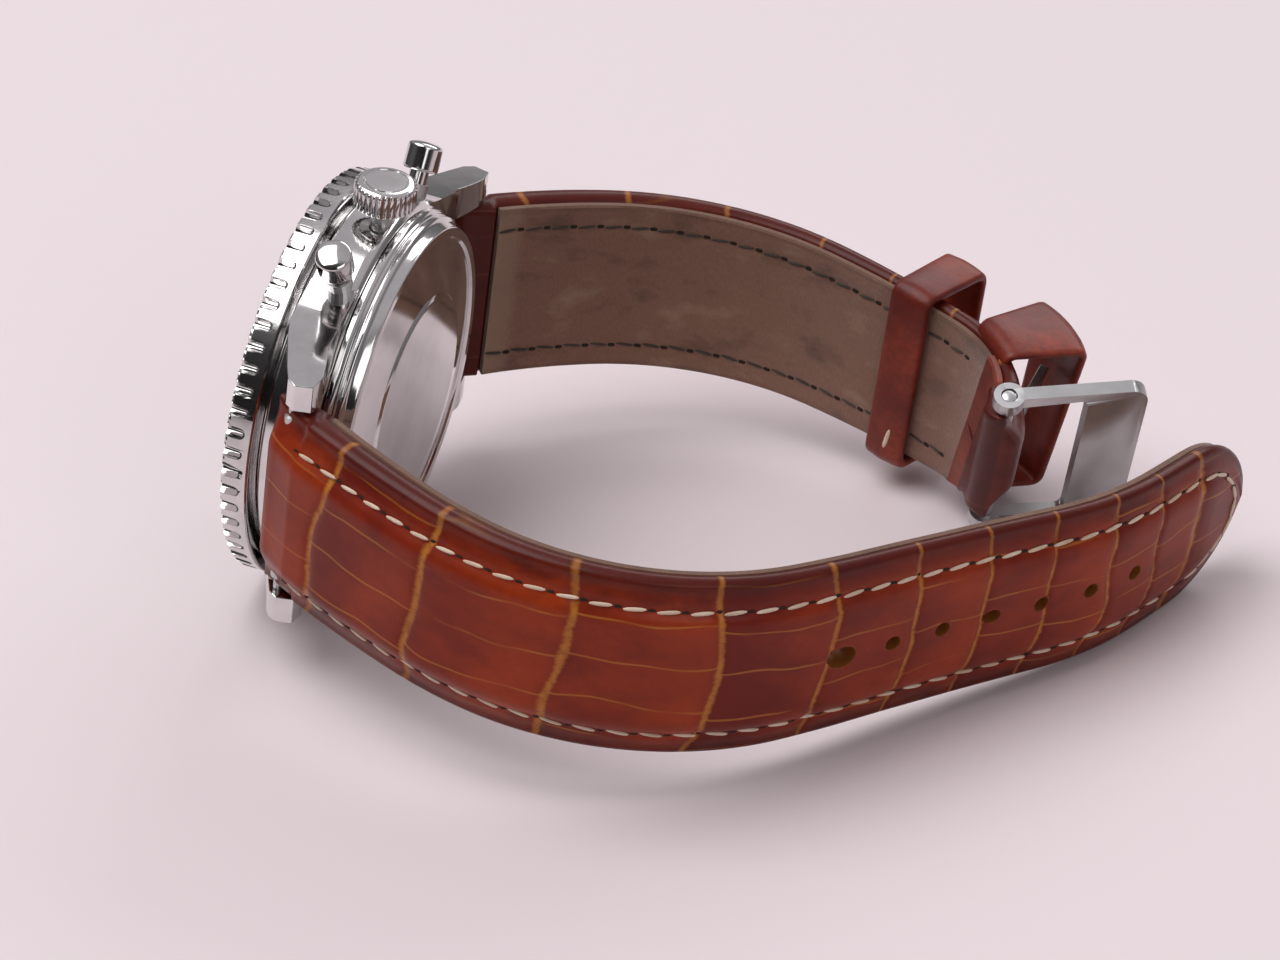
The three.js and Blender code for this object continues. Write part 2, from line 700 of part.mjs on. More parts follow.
function rotor() {
  const outline = [];
  for (let i = 0; i <= 24; i += 1) {
    const angle = (110 + (i * 140) / 24) * DEG;
    outline.push([14.9 * Math.cos(angle), 14.9 * Math.sin(angle)]);
  }
  outline.push([-1.2, -2.4], [2, -1.2], [2, 1.2], [-1.2, 2.4]);
  const swing = join(raised(outline, -4.9, -4.25), ring(0, 2.3, -4.9, -4.25, 24));
  return cut(swing, rod(0, 0, 0.83, -6, -3, 20));
}

add('rotor', rotor(), NICKEL);

// crown, stem and the fork that slides the stem
const CROWN_ORIGIN = vec(0, 0, CROWN_Z);

function crown() {
  const outline = notchedOutline(CROWN_R, 0.32, CROWN_FLUTES, 0.6);
  let body = raised(outline, CROWN_IN + 0.1, CROWN_OUT - 0.25);
  body = join(
    body,
    ring(0, 2.4, CROWN_IN - 0.2, CROWN_IN + 0.4, 36),
    turned([[0, 23.9], [CROWN_R - 0.3, 23.9], [CROWN_R - 0.3, 24.25], [CROWN_R - 0.6, CROWN_OUT], [0, CROWN_OUT]], 36),
  );
  body = cut(body, ring(0, 1.4, CROWN_IN - 1, 22.9, 24), ring(0, 0.53, 22, 23.7, 16));
  return along(body, CROWN_ORIGIN, radial(0));
}

add('crown', crown(), STEEL);
add('crown_tube', along(ring(0.62, 1.25, 17.3, 22.3, 20), CROWN_ORIGIN, radial(0)), SATIN_STEEL);

add('stem', along(turned([
  [0, 9.2], [STEM_R, 9.2], [STEM_R, FORK_X - 0.6], [0.3, FORK_X - 0.6], [0.3, FORK_X + 0.6],
  [STEM_R, FORK_X + 0.6], [STEM_R, 23.6], [0, 23.6],
], 16), CROWN_ORIGIN, radial(0)), SATIN_STEEL);

function settingLever() {
  const plate = box(FORK_X - 0.4, FORK_X + 0.4, -1.1, 1.1, -3.2, -1.6);
  return cut(plate, box(FORK_X - 1, FORK_X + 1, -0.4, 0.4, CROWN_Z - 0.4, 0));
}

add('setting_lever', settingLever(), NICKEL);

// pushers
function pusher() {
  return turned([
    [0, 16.7], [0.7, 16.7], [0.7, 21.2], [1, 21.2], [1, PUSHER_HEAD_IN],
    [PUSHER_HEAD_R - 0.15, PUSHER_HEAD_IN], [PUSHER_HEAD_R, PUSHER_HEAD_IN + 0.2],
    [PUSHER_HEAD_R, PUSHER_HEAD_OUT - 0.5], [PUSHER_HEAD_R - 0.2, PUSHER_HEAD_OUT - 0.2],
    [1, PUSHER_HEAD_OUT], [0, PUSHER_HEAD_OUT + 0.05],
  ], 28);
}

function pusherTube() {
  return turned([[0.77, 17.3], [1.35, 17.3], [1.35, 21.35], [1.07, 21.35], [1.07, 18], [0.77, 18]], 20);
}

/** A coil of round wire between two distances along z. */
function coil(mean, wire, low, high, turns) {
  const around = 5;
  const steps = turns * 10;
  const points = [];
  const faces = [];
  for (let i = 0; i <= steps; i += 1) {
    const angle = (i / 10) * 2 * Math.PI;
    const height = low + wire + ((high - low - 2 * wire) * i) / steps;
    for (let j = 0; j < around; j += 1) {
      const turn = (j / around) * 2 * Math.PI;
      const r = mean + wire * Math.cos(turn);
      points.push(r * Math.cos(angle), r * Math.sin(angle), height + wire * Math.sin(turn));
    }
  }
  for (let i = 0; i < steps; i += 1) {
    for (let j = 0; j < around; j += 1) {
      const k = (j + 1) % around;
      const row = i * around;
      faces.push(row + j, row + around + j, row + around + k, row + j, row + around + k, row + k);
    }
  }
  const lastRow = steps * around;
  for (let j = 1; j + 1 < around; j += 1) {
    faces.push(0, j, j + 1, lastRow, lastRow + j + 1, lastRow + j);
  }
  const geometry = new THREE.BufferGeometry();
  geometry.setAttribute('position', new THREE.BufferAttribute(new Float32Array(points), 3));
  geometry.setIndex(faces);
  return solid(geometry);
}

const PUSHERS = { start: PUSHER_ANGLE, reset: -PUSHER_ANGLE };
for (const [job, angle] of Object.entries(PUSHERS)) {
  const origin = vec(0, 0, PUSHER_Z);
  add(`pusher_${job}`, along(pusher(), origin, radial(angle)), STEEL);
  add(`pusher_tube_${job}`, along(pusherTube(), origin, radial(angle)), SATIN_STEEL);
  add(`pusher_spring_${job}`, along(coil(0.89, 0.1, 18.02, 21.18, 4), origin, radial(angle)), SATIN_STEEL);
}

// spring bars
function lugBar(side) {
  const body = turned([
    [0, -12.3], [0.45, -12.3], [0.45, -11], [0.8, -11], [0.8, 11], [0.45, 11], [0.45, 12.3], [0, 12.3],
  ], 16);
  return along(body, vec(0, side * LUG_BAR_Y, LUG_BAR_Z), vec(1, 0, 0));
}

add('lug_bar_12', lugBar(1), SATIN_STEEL);
add('lug_bar_6', lugBar(-1), SATIN_STEEL);

// strap halves
const longPath = new StrapPath([-LUG_BAR_Z, -LUG_BAR_Y], LONG_HEADING, LONG_STRETCHES, -1, 0, 1000);
const shortPath = new StrapPath(
  [-LUG_BAR_Z, LUG_BAR_Y], SHORT_HEADING, SHORT_STRETCHES, 1, SHORT_LEAN, SHORT_LEAN_FROM,
);

function barTunnel(path, s, radius) {
  const { origin, across } = path.section(s);
  return along(ring(0, radius, -14, 14, 18), origin, across);
}

function strapHole(path, index) {
  const { origin, outward } = path.section(FIRST_HOLE_S + index * HOLE_PITCH);
  return along(ring(0, index ? HOLE_R : WORN_HOLE_R, -6, 6, 12), origin, outward);
}

function longStrap(body) {
  let left = cut(body, barTunnel(longPath, 0, ROLL_HOLE_R));
  for (let i = 0; i < HOLE_COUNT; i += 1) left = cut(left, strapHole(longPath, i));
  return left;
}

add('strap_long', longStrap(strapLeather(longPath, true, false)), LEATHER);
add('strap_long_lining', longStrap(strapLining(longPath, true, longPath.length - 2.2)), LINING);

const barEnd = shortPath.section(shortPath.length);

/** Room for the tang in the short strap's rolled end. */
function tangSlot() {
  const pocket = along(ring(0, 1.7, -1.4, 1.4, 20), vec(0, 0, 0), vec(1, 0, 0));
  const body = join(pocket, box(-1.4, 1.4, 0, 4, -8.5, 0.2));
  const forward = buckleAxes(SHORT_STRETCHES.at(-1)[1]).x;
  return placed(body, barEnd.origin, barEnd.across, barEnd.outward, forward);
}

add('strap_short', cut(
  strapLeather(shortPath, false, true),
  barTunnel(shortPath, 0, ROLL_HOLE_R),
  barTunnel(shortPath, shortPath.length, ROLL_HOLE_R),
  tangSlot(),
), LEATHER);
add('strap_short_lining', strapLining(shortPath, false, shortPath.length - 3.8), LINING);

add('sliding_keeper', keeperLoop(shortPath, SLIDE_KEEPER), DARK_LEATHER);
add('fixed_keeper', keeperLoop(shortPath, FIXED_KEEPER), DARK_LEATHER);

// buckle, on axes of its own: x away from the bar, y along the bar, z outward
function buckleAxes(heading) {
  const wanted = vec(0, Math.sin(heading * DEG), -Math.cos(heading * DEG));
  const y = barEnd.across.clone().normalize();
  const x = wanted.addScaledVector(y, -wanted.dot(y)).normalize();
  const z = new THREE.Vector3().crossVectors(x, y);
  return { x, y, z };
}

function buckleFrame() {
  const far = BUCKLE_LENGTH;
  const near = -0.2;
  const half = BUCKLE_ARM_OUT;
  const turn = 1.6;
  const outline = [
    [near, -half], [far - turn, -half], [far - turn * 0.3, -half + turn * 0.3], [far, -half + turn],
    [far, half - turn], [far - turn * 0.3, half - turn * 0.3], [far - turn, half], [near, half],
  ];
  let body = raised(outline, -BUCKLE_THICK / 2, BUCKLE_THICK / 2);
  body = cut(body, box(-3, BUCKLE_PLATE_FROM, -BUCKLE_ARM_IN, BUCKLE_ARM_IN, -3, 3));
  const eye = ring(0, BUCKLE_EYE_R, BUCKLE_ARM_IN, BUCKLE_ARM_OUT, 20);
  for (const side of [1, -1]) body = join(body, along(eye, vec(0, 0, 0), vec(0, side, 0)));
  body = cut(body, along(ring(0, BUCKLE_BAR_R + 0.06, -14, 14, 20), vec(0, 0, 0), vec(0, 1, 0)));
  const { x, y, z } = buckleAxes(BUCKLE_HEADING);
  return placed(body, barEnd.origin, x, y, z);
}

function buckleTang() {
  const half = TANG_WIDTH / 2;
  let body = raised([[0, -half], [TANG_LENGTH - 1, -half * 0.8], [TANG_LENGTH, 0],
    [TANG_LENGTH - 1, half * 0.8], [0, half]], -0.45, 0.45);
  body = join(body, along(ring(0, 1.55, -1.2, 1.2, 20), vec(0, 0, 0), vec(0, 1, 0)));
  body = cut(body, along(ring(0, BUCKLE_BAR_R + 0.06, -14, 14, 20), vec(0, 0, 0), vec(0, 1, 0)));
  const { x, y, z } = buckleAxes(TANG_HEADING);
  return placed(body, barEnd.origin, x, y, z);
}

add('buckle_bar', along(ring(0, BUCKLE_BAR_R, -BUCKLE_BAR_HALF, BUCKLE_BAR_HALF, 20), barEnd.origin,
  barEnd.across), SATIN_STEEL);
add('buckle_frame', buckleFrame(), SATIN_STEEL);
add('buckle_tang', buckleTang(), SATIN_STEEL);

// ---------------------------------------------------------------- resting place

const lean = new THREE.Matrix4().makeRotationY(REST_TILT - Math.PI / 2);
const bounds = new THREE.Box3();
for (const mesh of group.children) {
  mesh.geometry.applyMatrix4(lean);
  mesh.geometry.computeBoundingBox();
  bounds.union(mesh.geometry.boundingBox);
}
const middle = bounds.getCenter(new THREE.Vector3());
const settle = new THREE.Matrix4().makeTranslation(-middle.x, -middle.y, -bounds.min.z);
for (const mesh of group.children) {
  mesh.geometry.applyMatrix4(settle);
  mesh.geometry.computeVertexNormals();
}

export default group;
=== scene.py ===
"""Looks of a chronograph wristwatch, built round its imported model.

Sizes are in millimetres on the head's own axes (x towards three o'clock, y towards
twelve o'clock, z out of the dial) until a piece is laid in the row frame.
"""

import json
import logging
import math
from dataclasses import dataclass, field
from enum import Enum
from typing import Callable, Iterable, Optional, Sequence

import bpy
import numpy as np
from mathutils import Matrix, Vector, noise


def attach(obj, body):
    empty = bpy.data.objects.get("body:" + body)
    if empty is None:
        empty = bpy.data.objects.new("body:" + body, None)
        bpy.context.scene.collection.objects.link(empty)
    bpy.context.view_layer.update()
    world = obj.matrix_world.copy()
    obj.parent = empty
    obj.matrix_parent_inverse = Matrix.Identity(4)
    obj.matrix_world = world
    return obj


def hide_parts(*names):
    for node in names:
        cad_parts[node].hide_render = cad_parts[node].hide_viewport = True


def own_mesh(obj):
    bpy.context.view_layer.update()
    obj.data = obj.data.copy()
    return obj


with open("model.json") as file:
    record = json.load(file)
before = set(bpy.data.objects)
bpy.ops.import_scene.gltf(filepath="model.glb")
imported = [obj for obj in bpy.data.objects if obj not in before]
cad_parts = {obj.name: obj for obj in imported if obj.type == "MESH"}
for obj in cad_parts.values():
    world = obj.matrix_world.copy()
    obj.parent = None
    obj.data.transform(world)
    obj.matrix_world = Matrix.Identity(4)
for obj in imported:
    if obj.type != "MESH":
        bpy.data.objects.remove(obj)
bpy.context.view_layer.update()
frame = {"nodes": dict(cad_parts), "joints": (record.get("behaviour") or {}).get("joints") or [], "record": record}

log = logging.getLogger("wristwatch")

Colour = tuple[float, float, float]
Profile = Sequence[tuple[float, float]]

MM = 0.001
FULL_TURN = 2 * math.pi


# ------------------------------------------------------------------ where the head lies


def joint(name: str) -> dict:
    """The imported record's joint of that name."""
    return next(j for j in frame["joints"] if j["name"] == name)


def head_matrix() -> Matrix:
    """Matrix from the head's axes in millimetres to the row frame in metres."""
    normal = Vector(joint("bezel_turn")["axis"]).normalized()
    three = Vector(joint("crown_turn")["axis"]).normalized()
    twelve = normal.cross(three)
    axes = Matrix((three, twelve, normal)).transposed().to_4x4()
    return Matrix.Translation(Vector(joint("bezel_turn")["pos_m"])) @ axes @ Matrix.Scale(MM, 4)


HEAD = head_matrix()


# ------------------------------------------------------------------ modelling bench


def deselect() -> None:
    """Leaves object mode with nothing selected."""
    if bpy.context.object and bpy.context.object.mode != "OBJECT":
        bpy.ops.object.mode_set(mode="OBJECT")
    bpy.ops.object.select_all(action="DESELECT")


def take(piece: bpy.types.Object) -> bpy.types.Object:
    """Selects one piece alone and makes it active."""
    deselect()
    piece.select_set(True)
    bpy.context.view_layer.objects.active = piece
    return piece


def newest(name: str) -> bpy.types.Object:
    """Names the object that an operator has just added."""
    piece = bpy.context.object
    piece.name = name
    piece.data.name = name
    return piece


def edit(piece: bpy.types.Object, select: str = "SELECT") -> None:
    """Enters edit mode on a piece with everything selected, or with nothing.

    Args:
        piece: the piece to edit.
        select: SELECT or DESELECT.
    """
    take(piece)
    bpy.ops.object.mode_set(mode="EDIT")
    bpy.ops.mesh.select_all(action=select)


def done() -> None:
    """Leaves edit mode."""
    bpy.ops.object.mode_set(mode="OBJECT")


def tidy(piece: bpy.types.Object, distance: float = 1e-4) -> bpy.types.Object:
    """Merges doubles and turns the faces outwards.

    Args:
        piece: a closed shell in millimetres.
        distance: points closer than this are merged.

    Returns:
        The same piece.
    """
    edit(piece)
    bpy.ops.mesh.remove_doubles(threshold=distance)
    bpy.ops.mesh.normals_make_consistent(inside=False)
    done()
    return piece


def chain(name: str, points: Sequence[Sequence[float]]) -> bpy.types.Object:
    """A line of edges drawn by extruding one point.

    Args:
        name: name of the piece.
        points: places in millimetres, in order.

    Returns:
        The piece, left in edit mode with its last point selected.
    """
    deselect()
    bpy.ops.mesh.primitive_plane_add(size=1)
    piece = newest(name)
    edit(piece)
    bpy.ops.mesh.merge(type="CENTER")
    bpy.ops.transform.translate(value=Vector(points[0]))
    for here, there in zip(points, points[1:]):
        step = Vector(there) - Vector(here)
        bpy.ops.mesh.extrude_vertices_move(TRANSFORM_OT_translate={"value": step})
    return piece


def turned(name: str, profile: Profile, steps: int = 192) -> bpy.types.Object:
    """A body turned about z.

    Args:
        name: name of the piece.
        profile: [radius, z] points that start and end on the axis or close on themselves.
        steps: facets round the turn.

    Returns:
        The closed piece.
    """
    points = [(r, 0.0, z) for r, z in profile]
    if profile[0][0] > 0:
        points.append(points[0])
    piece = chain(name, points)
    bpy.ops.mesh.select_all(action="SELECT")
    bpy.ops.mesh.spin(steps=steps, angle=FULL_TURN, center=(0, 0, 0), axis=(0, 0, 1))
    done()
    return tidy(piece)


def raised(name: str, outline: Profile, low: float, high: float) -> bpy.types.Object:
    """A flat outline raised from one height to another.

    Args:
        name: name of the piece.
        outline: [x, y] points of a closed outline, in order.
        low: height of the lower face.
        high: height of the upper face.

    Returns:
        The closed piece.
    """
    points = [(x, y, low) for x, y in outline]
    piece = chain(name, points + [points[0]])
    bpy.ops.mesh.select_all(action="SELECT")
    bpy.ops.mesh.remove_doubles(threshold=1e-5)
    bpy.ops.mesh.select_all(action="SELECT")
    bpy.ops.mesh.edge_face_add()
    bpy.ops.mesh.extrude_region_move(TRANSFORM_OT_translate={"value": (0, 0, high - low)})
    done()
    return tidy(piece)


def rod(name: str, radius: float, low: float, high: float, sides: int = 32) -> bpy.types.Object:
    """A plain cutter or pin standing on z.

    Args:
        name: name of the piece.
        radius: its radius.
        low: where it starts.
        high: where it ends.
        sides: facets round it.

    Returns:
        The piece.
    """
    deselect()
    bpy.ops.mesh.primitive_cylinder_add(
        vertices=sides, radius=radius, depth=high - low, location=(0, 0, (low + high) / 2)
    )
    piece = newest(name)
    bpy.ops.object.transform_apply(location=True, rotation=True, scale=True)
    return piece


def moved(piece: bpy.types.Object, matrix: Matrix) -> bpy.types.Object:
    """Moves a piece by moving its mesh, and keeps its faces outward.

    Args:
        piece: the piece.
        matrix: where it goes.

    Returns:
        The same piece.
    """
    piece.data.transform(matrix)
    if matrix.determinant() < 0:
        piece.data.flip_normals()
    piece.data.update()
    return piece


def copied(piece: bpy.types.Object, name: str, matrix: Matrix) -> bpy.types.Object:
    """A copy with its own mesh, moved to its place."""
    twin = piece.copy()
    twin.data = piece.data.copy()
    twin.name = name
    twin.data.name = name
    bpy.context.scene.collection.objects.link(twin)
    return moved(twin, matrix)


def joined(name: str, pieces: Sequence[bpy.types.Object]) -> bpy.types.Object:
    """Several pieces made one object."""
    deselect()
    for piece in pieces:
        piece.select_set(True)
    bpy.context.view_layer.objects.active = pieces[0]
    bpy.ops.object.join()
    pieces[0].name = name
    pieces[0].data.name = name
    return pieces[0]


def repeated(name: str, pattern: bpy.types.Object, places: Iterable[Matrix]) -> bpy.types.Object:
    """One object holding a copy of a small pattern at each place.

    Args:
        name: name of the new object.
        pattern: the small piece, which is used up.
        places: one matrix for each copy.

    Returns:
        The new object.
    """
    corners = np.array([v.co for v in pattern.data.vertices])
    faces = [tuple(p.vertices) for p in pattern.data.polygons]
    points: list[np.ndarray] = []
    polygons: list[tuple[int, ...]] = []
    for count, place in enumerate(places):
        matrix = np.array(place)
        points.append(corners @ matrix[:3, :3].T + matrix[:3, 3])
        start = count * len(corners)
        polygons.extend(tuple(start + i for i in face) for face in faces)
    mesh = bpy.data.meshes.new(name)
    mesh.from_pydata(np.concatenate(points).tolist(), [], polygons)
    piece = bpy.data.objects.new(name, mesh)
    bpy.context.scene.collection.objects.link(piece)
    bpy.data.objects.remove(pattern)
    return piece


def cut(piece: bpy.types.Object, *cutters: bpy.types.Object) -> bpy.types.Object:
    """Takes cutters out of a piece and removes them.

    Args:
        piece: the piece that stays.
        cutters: the closed shapes to take out of it.

    Returns:
        The same piece.
    """
    return _boolean(piece, cutters, "DIFFERENCE")


def fused(piece: bpy.types.Object, *others: bpy.types.Object) -> bpy.types.Object:
    """Joins closed shapes into one skin.

    Args:
        piece: the piece that stays.
        others: the closed shapes to add to it.

    Returns:
        The same piece.
    """
    return _boolean(piece, others, "UNION")


def _boolean(piece: bpy.types.Object, others: Sequence[bpy.types.Object], kind: str) -> bpy.types.Object:
    """Applies one boolean for each of the other shapes.

    Args:
        piece: the piece that stays.
        others: the shapes used up by it.
        kind: DIFFERENCE or UNION.

    Returns:
        The same piece.
    """
    for other in others:
        take(piece)
        modifier = piece.modifiers.new("shape", "BOOLEAN")
        modifier.operation = kind
        modifier.solver = "EXACT"
        modifier.object = other
        bpy.ops.object.modifier_apply(modifier=modifier.name)
        bpy.data.objects.remove(other)
    return piece


def eased(piece: bpy.types.Object, width: float, angle: float = 30, segments: int = 2) -> bpy.types.Object:
    """Breaks a piece's sharp edges with a small bevel.

    Args:
        piece: the piece.
        width: bevel width.
        angle: edges sharper than this are beveled, in degrees.
        segments: facets across the bevel.

    Returns:
        The same piece.
    """
    take(piece)
    modifier = piece.modifiers.new("ease", "BEVEL")
    modifier.width = width
    modifier.segments = segments
    modifier.limit_method = "ANGLE"
    modifier.angle_limit = math.radians(angle)
    modifier.use_clamp_overlap = True
    modifier.harden_normals = False
    bpy.ops.object.modifier_apply(modifier=modifier.name)
    return piece


def smooth(piece: bpy.types.Object, angle: float = 30) -> bpy.types.Object:
    """Shades a piece smooth across edges flatter than an angle in degrees."""
    take(piece)
    bpy.ops.object.shade_smooth_by_angle(angle=math.radians(angle))
    return piece


def polished(piece: bpy.types.Object, angle: float = 35) -> bpy.types.Object:
    """Shades a metal piece so that its large faces stay flat and only its eased edges turn."""
    smooth(piece, angle)
    modifier = piece.modifiers.new("flats", "WEIGHTED_NORMAL")
    modifier.weight = 80
    modifier.keep_sharp = True
    bpy.ops.object.modifier_apply(modifier=modifier.name)
    return piece


def axis_matrix(direction: Sequence[float], origin: Sequence[float] = (0, 0, 0)) -> Matrix:
    """Matrix that lays z along a direction from an origin."""
    turn = Vector(direction).to_track_quat("Z", "Y").to_matrix().to_4x4()
    return Matrix.Translation(Vector(origin)) @ turn


def laid(
    piece: bpy.types.Object,
    finish: bpy.types.Material,
    body: str,
    replaces: Sequence[str] = (),
    matrix: Matrix = HEAD,
) -> bpy.types.Object:
    """Lays a finished piece in the row frame and says what it rides on.

    Args:
        piece: the piece, in millimetres on the head's axes.
        finish: its material.
        body: the CAD body it rides on.
        replaces: CAD nodes that it stands for.
        matrix: from the piece's axes to the row frame.

    Returns:
        The same piece.
    """
    moved(piece, matrix)
    piece.data.materials.clear()
    piece.data.materials.append(finish)
    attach(piece, body)
    if replaces:
        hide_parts(*replaces)
    log.info("%s: %d faces on %s", piece.name, len(piece.data.polygons), body)
    return piece


# ------------------------------------------------------------------ finishes


class Nodes:
    """Short calls for wiring one material's nodes."""

    def __init__(self, name: str) -> None:
        """Starts a material with an empty tree but for its shader and output."""
        self.material = bpy.data.materials.new(name)
        self.material.use_nodes = True
        self.tree = self.material.node_tree
        self.shader = next(n for n in self.tree.nodes if n.type == "BSDF_PRINCIPLED")

    def add(self, kind: str, **settings: object) -> bpy.types.Node:
        """Adds a node and sets its properties."""
        node = self.tree.nodes.new(kind)
        for key, value in settings.items():
            setattr(node, key, value)
        return node

    def plug(self, source: object, socket: bpy.types.NodeSocket) -> None:
        """Links an output to a socket, or sets the socket if the source is a value."""
        if isinstance(source, bpy.types.NodeSocket):
            self.tree.links.new(source, socket)
        elif source is not None:
            socket.default_value = source

    def place(self) -> bpy.types.NodeSocket:
        """Object coordinates, in metres in the row frame."""
        return self.add("ShaderNodeTexCoord").outputs["Object"]

    def attribute(self, name: str) -> bpy.types.NodeSocket:
        """A number stored on the piece's points."""
        return self.add("ShaderNodeAttribute", attribute_name=name).outputs["Fac"]

    def math(self, operation: str, a: object, b: object = None, c: object = None) -> bpy.types.NodeSocket:
        """One arithmetic step."""
        node = self.add("ShaderNodeMath", operation=operation)
        for value, socket in zip((a, b, c), node.inputs):
            self.plug(value, socket)
        return node.outputs[0]

    def join3(self, x: object, y: object, z: object = 0.0) -> bpy.types.NodeSocket:
        """A vector from three numbers."""
        node = self.add("ShaderNodeCombineXYZ")
        for value, socket in zip((x, y, z), node.inputs):
            self.plug(value, socket)
        return node.outputs[0]

    def split3(self, vector: bpy.types.NodeSocket) -> tuple[bpy.types.NodeSocket, ...]:
        """The three numbers of a vector."""
        node = self.add("ShaderNodeSeparateXYZ")
        self.plug(vector, node.inputs[0])
        return tuple(node.outputs)

    def stretch(self, vector: bpy.types.NodeSocket, scale: Sequence[float]) -> bpy.types.NodeSocket:
        """A pattern's coordinates, scaled."""
        node = self.add("ShaderNodeMapping")
        self.plug(vector, node.inputs["Vector"])
        node.inputs["Scale"].default_value = scale
        return node.outputs[0]

    def noise(self, vector: object, scale: float, detail: float = 3, rough: float = 0.5) -> bpy.types.NodeSocket:
        """Soft random pattern from 0 to 1."""
        node = self.add("ShaderNodeTexNoise")
        self.plug(vector, node.inputs["Vector"])
        node.inputs["Scale"].default_value = scale
        node.inputs["Detail"].default_value = detail
        node.inputs["Roughness"].default_value = rough
        return node.outputs["Fac"]

    def cells(self, vector: object, scale: float, feature: str = "DISTANCE_TO_EDGE") -> bpy.types.NodeSocket:
        """Distance inside random cells."""
        node = self.add("ShaderNodeTexVoronoi", feature=feature)
        self.plug(vector, node.inputs["Vector"])
        node.inputs["Scale"].default_value = scale
        return node.outputs["Distance"]

    def ramp(self, value: object, stops: Sequence[tuple[float, float]]) -> bpy.types.NodeSocket:
        """A grey curve through [place, level] stops."""
        node = self.add("ShaderNodeValToRGB")
        self.plug(value, node.inputs[0])
        marks = node.color_ramp.elements
        while len(marks) < len(stops):
            marks.new(0.5)
        for mark, (place, level) in zip(marks, sorted(stops)):
            mark.position = place
            mark.color = (level, level, level, 1)
        return node.outputs["Color"]

    def mix(self, amount: object, first: object, second: object, blend: str = "MIX") -> bpy.types.NodeSocket:
        """Mixes two colours."""
        node = self.add("ShaderNodeMix", data_type="RGBA", blend_type=blend)
        self.plug(amount, node.inputs[0])
        for value, socket in ((first, node.inputs[6]), (second, node.inputs[7])):
            if isinstance(value, tuple):
                value = (*value[:3], 1.0)
            self.plug(value, socket)
        return node.outputs[2]

    def bump(self, height: object, strength: float, distance: float) -> None:
        """Raises the surface by a height pattern, on top of any bump before it."""
        node = self.add("ShaderNodeBump")
        node.inputs["Strength"].default_value = strength
        node.inputs["Distance"].default_value = distance
        self.plug(height, node.inputs["Height"])
        before = self.shader.inputs["Normal"]
        if before.is_linked:
            self.plug(before.links[0].from_socket, node.inputs["Normal"])
        self.plug(node.outputs[0], before)

    def set(self, **values: object) -> None:
        """Sets shader sockets by name, with spaces written as underscores."""
        for key, value in values.items():
            if isinstance(value, tuple) and len(value) == 3:
                value = (*value, 1.0)
            self.plug(value, self.shader.inputs[key.replace("_", " ")])


@dataclass(frozen=True)
class Metal:
    """A bare or plated metal with fine hairlines and handling marks."""

    name: str
    colour: Colour
    roughness: float
    haze: float = 0.06
    hairline: float = 0.0
    hairline_stretch: tuple[float, float, float] = (1, 1, 1)
    grime: float = 0.0

    def build(self) -> bpy.types.Material:
        """Wires the metal."""
        n = Nodes(self.name)
        here = n.place()
        smears = n.noise(here, 260, 4, 0.6)
        n.set(Metallic=1.0)
        rough = n.math("MULTIPLY_ADD", smears, self.haze, self.roughness)
        if self.hairline:
            lines = n.noise(n.stretch(here, self.hairline_stretch), 900, 2, 0.7)
            n.bump(lines, self.hairline, 0.00002)
            rough = n.math("MULTIPLY_ADD", lines, 0.12, rough)
        n.plug(rough, n.shader.inputs["Roughness"])
        patches = n.noise(here, 95, 5, 0.65)
        dull = n.ramp(patches, ((0.42, 0.0), (0.75, 1.0)))
        darker = tuple(c * (1 - 0.22 - self.grime) for c in self.colour)
        n.plug(n.mix(dull, self.colour, darker), n.shader.inputs["Base Color"])
        return n.material


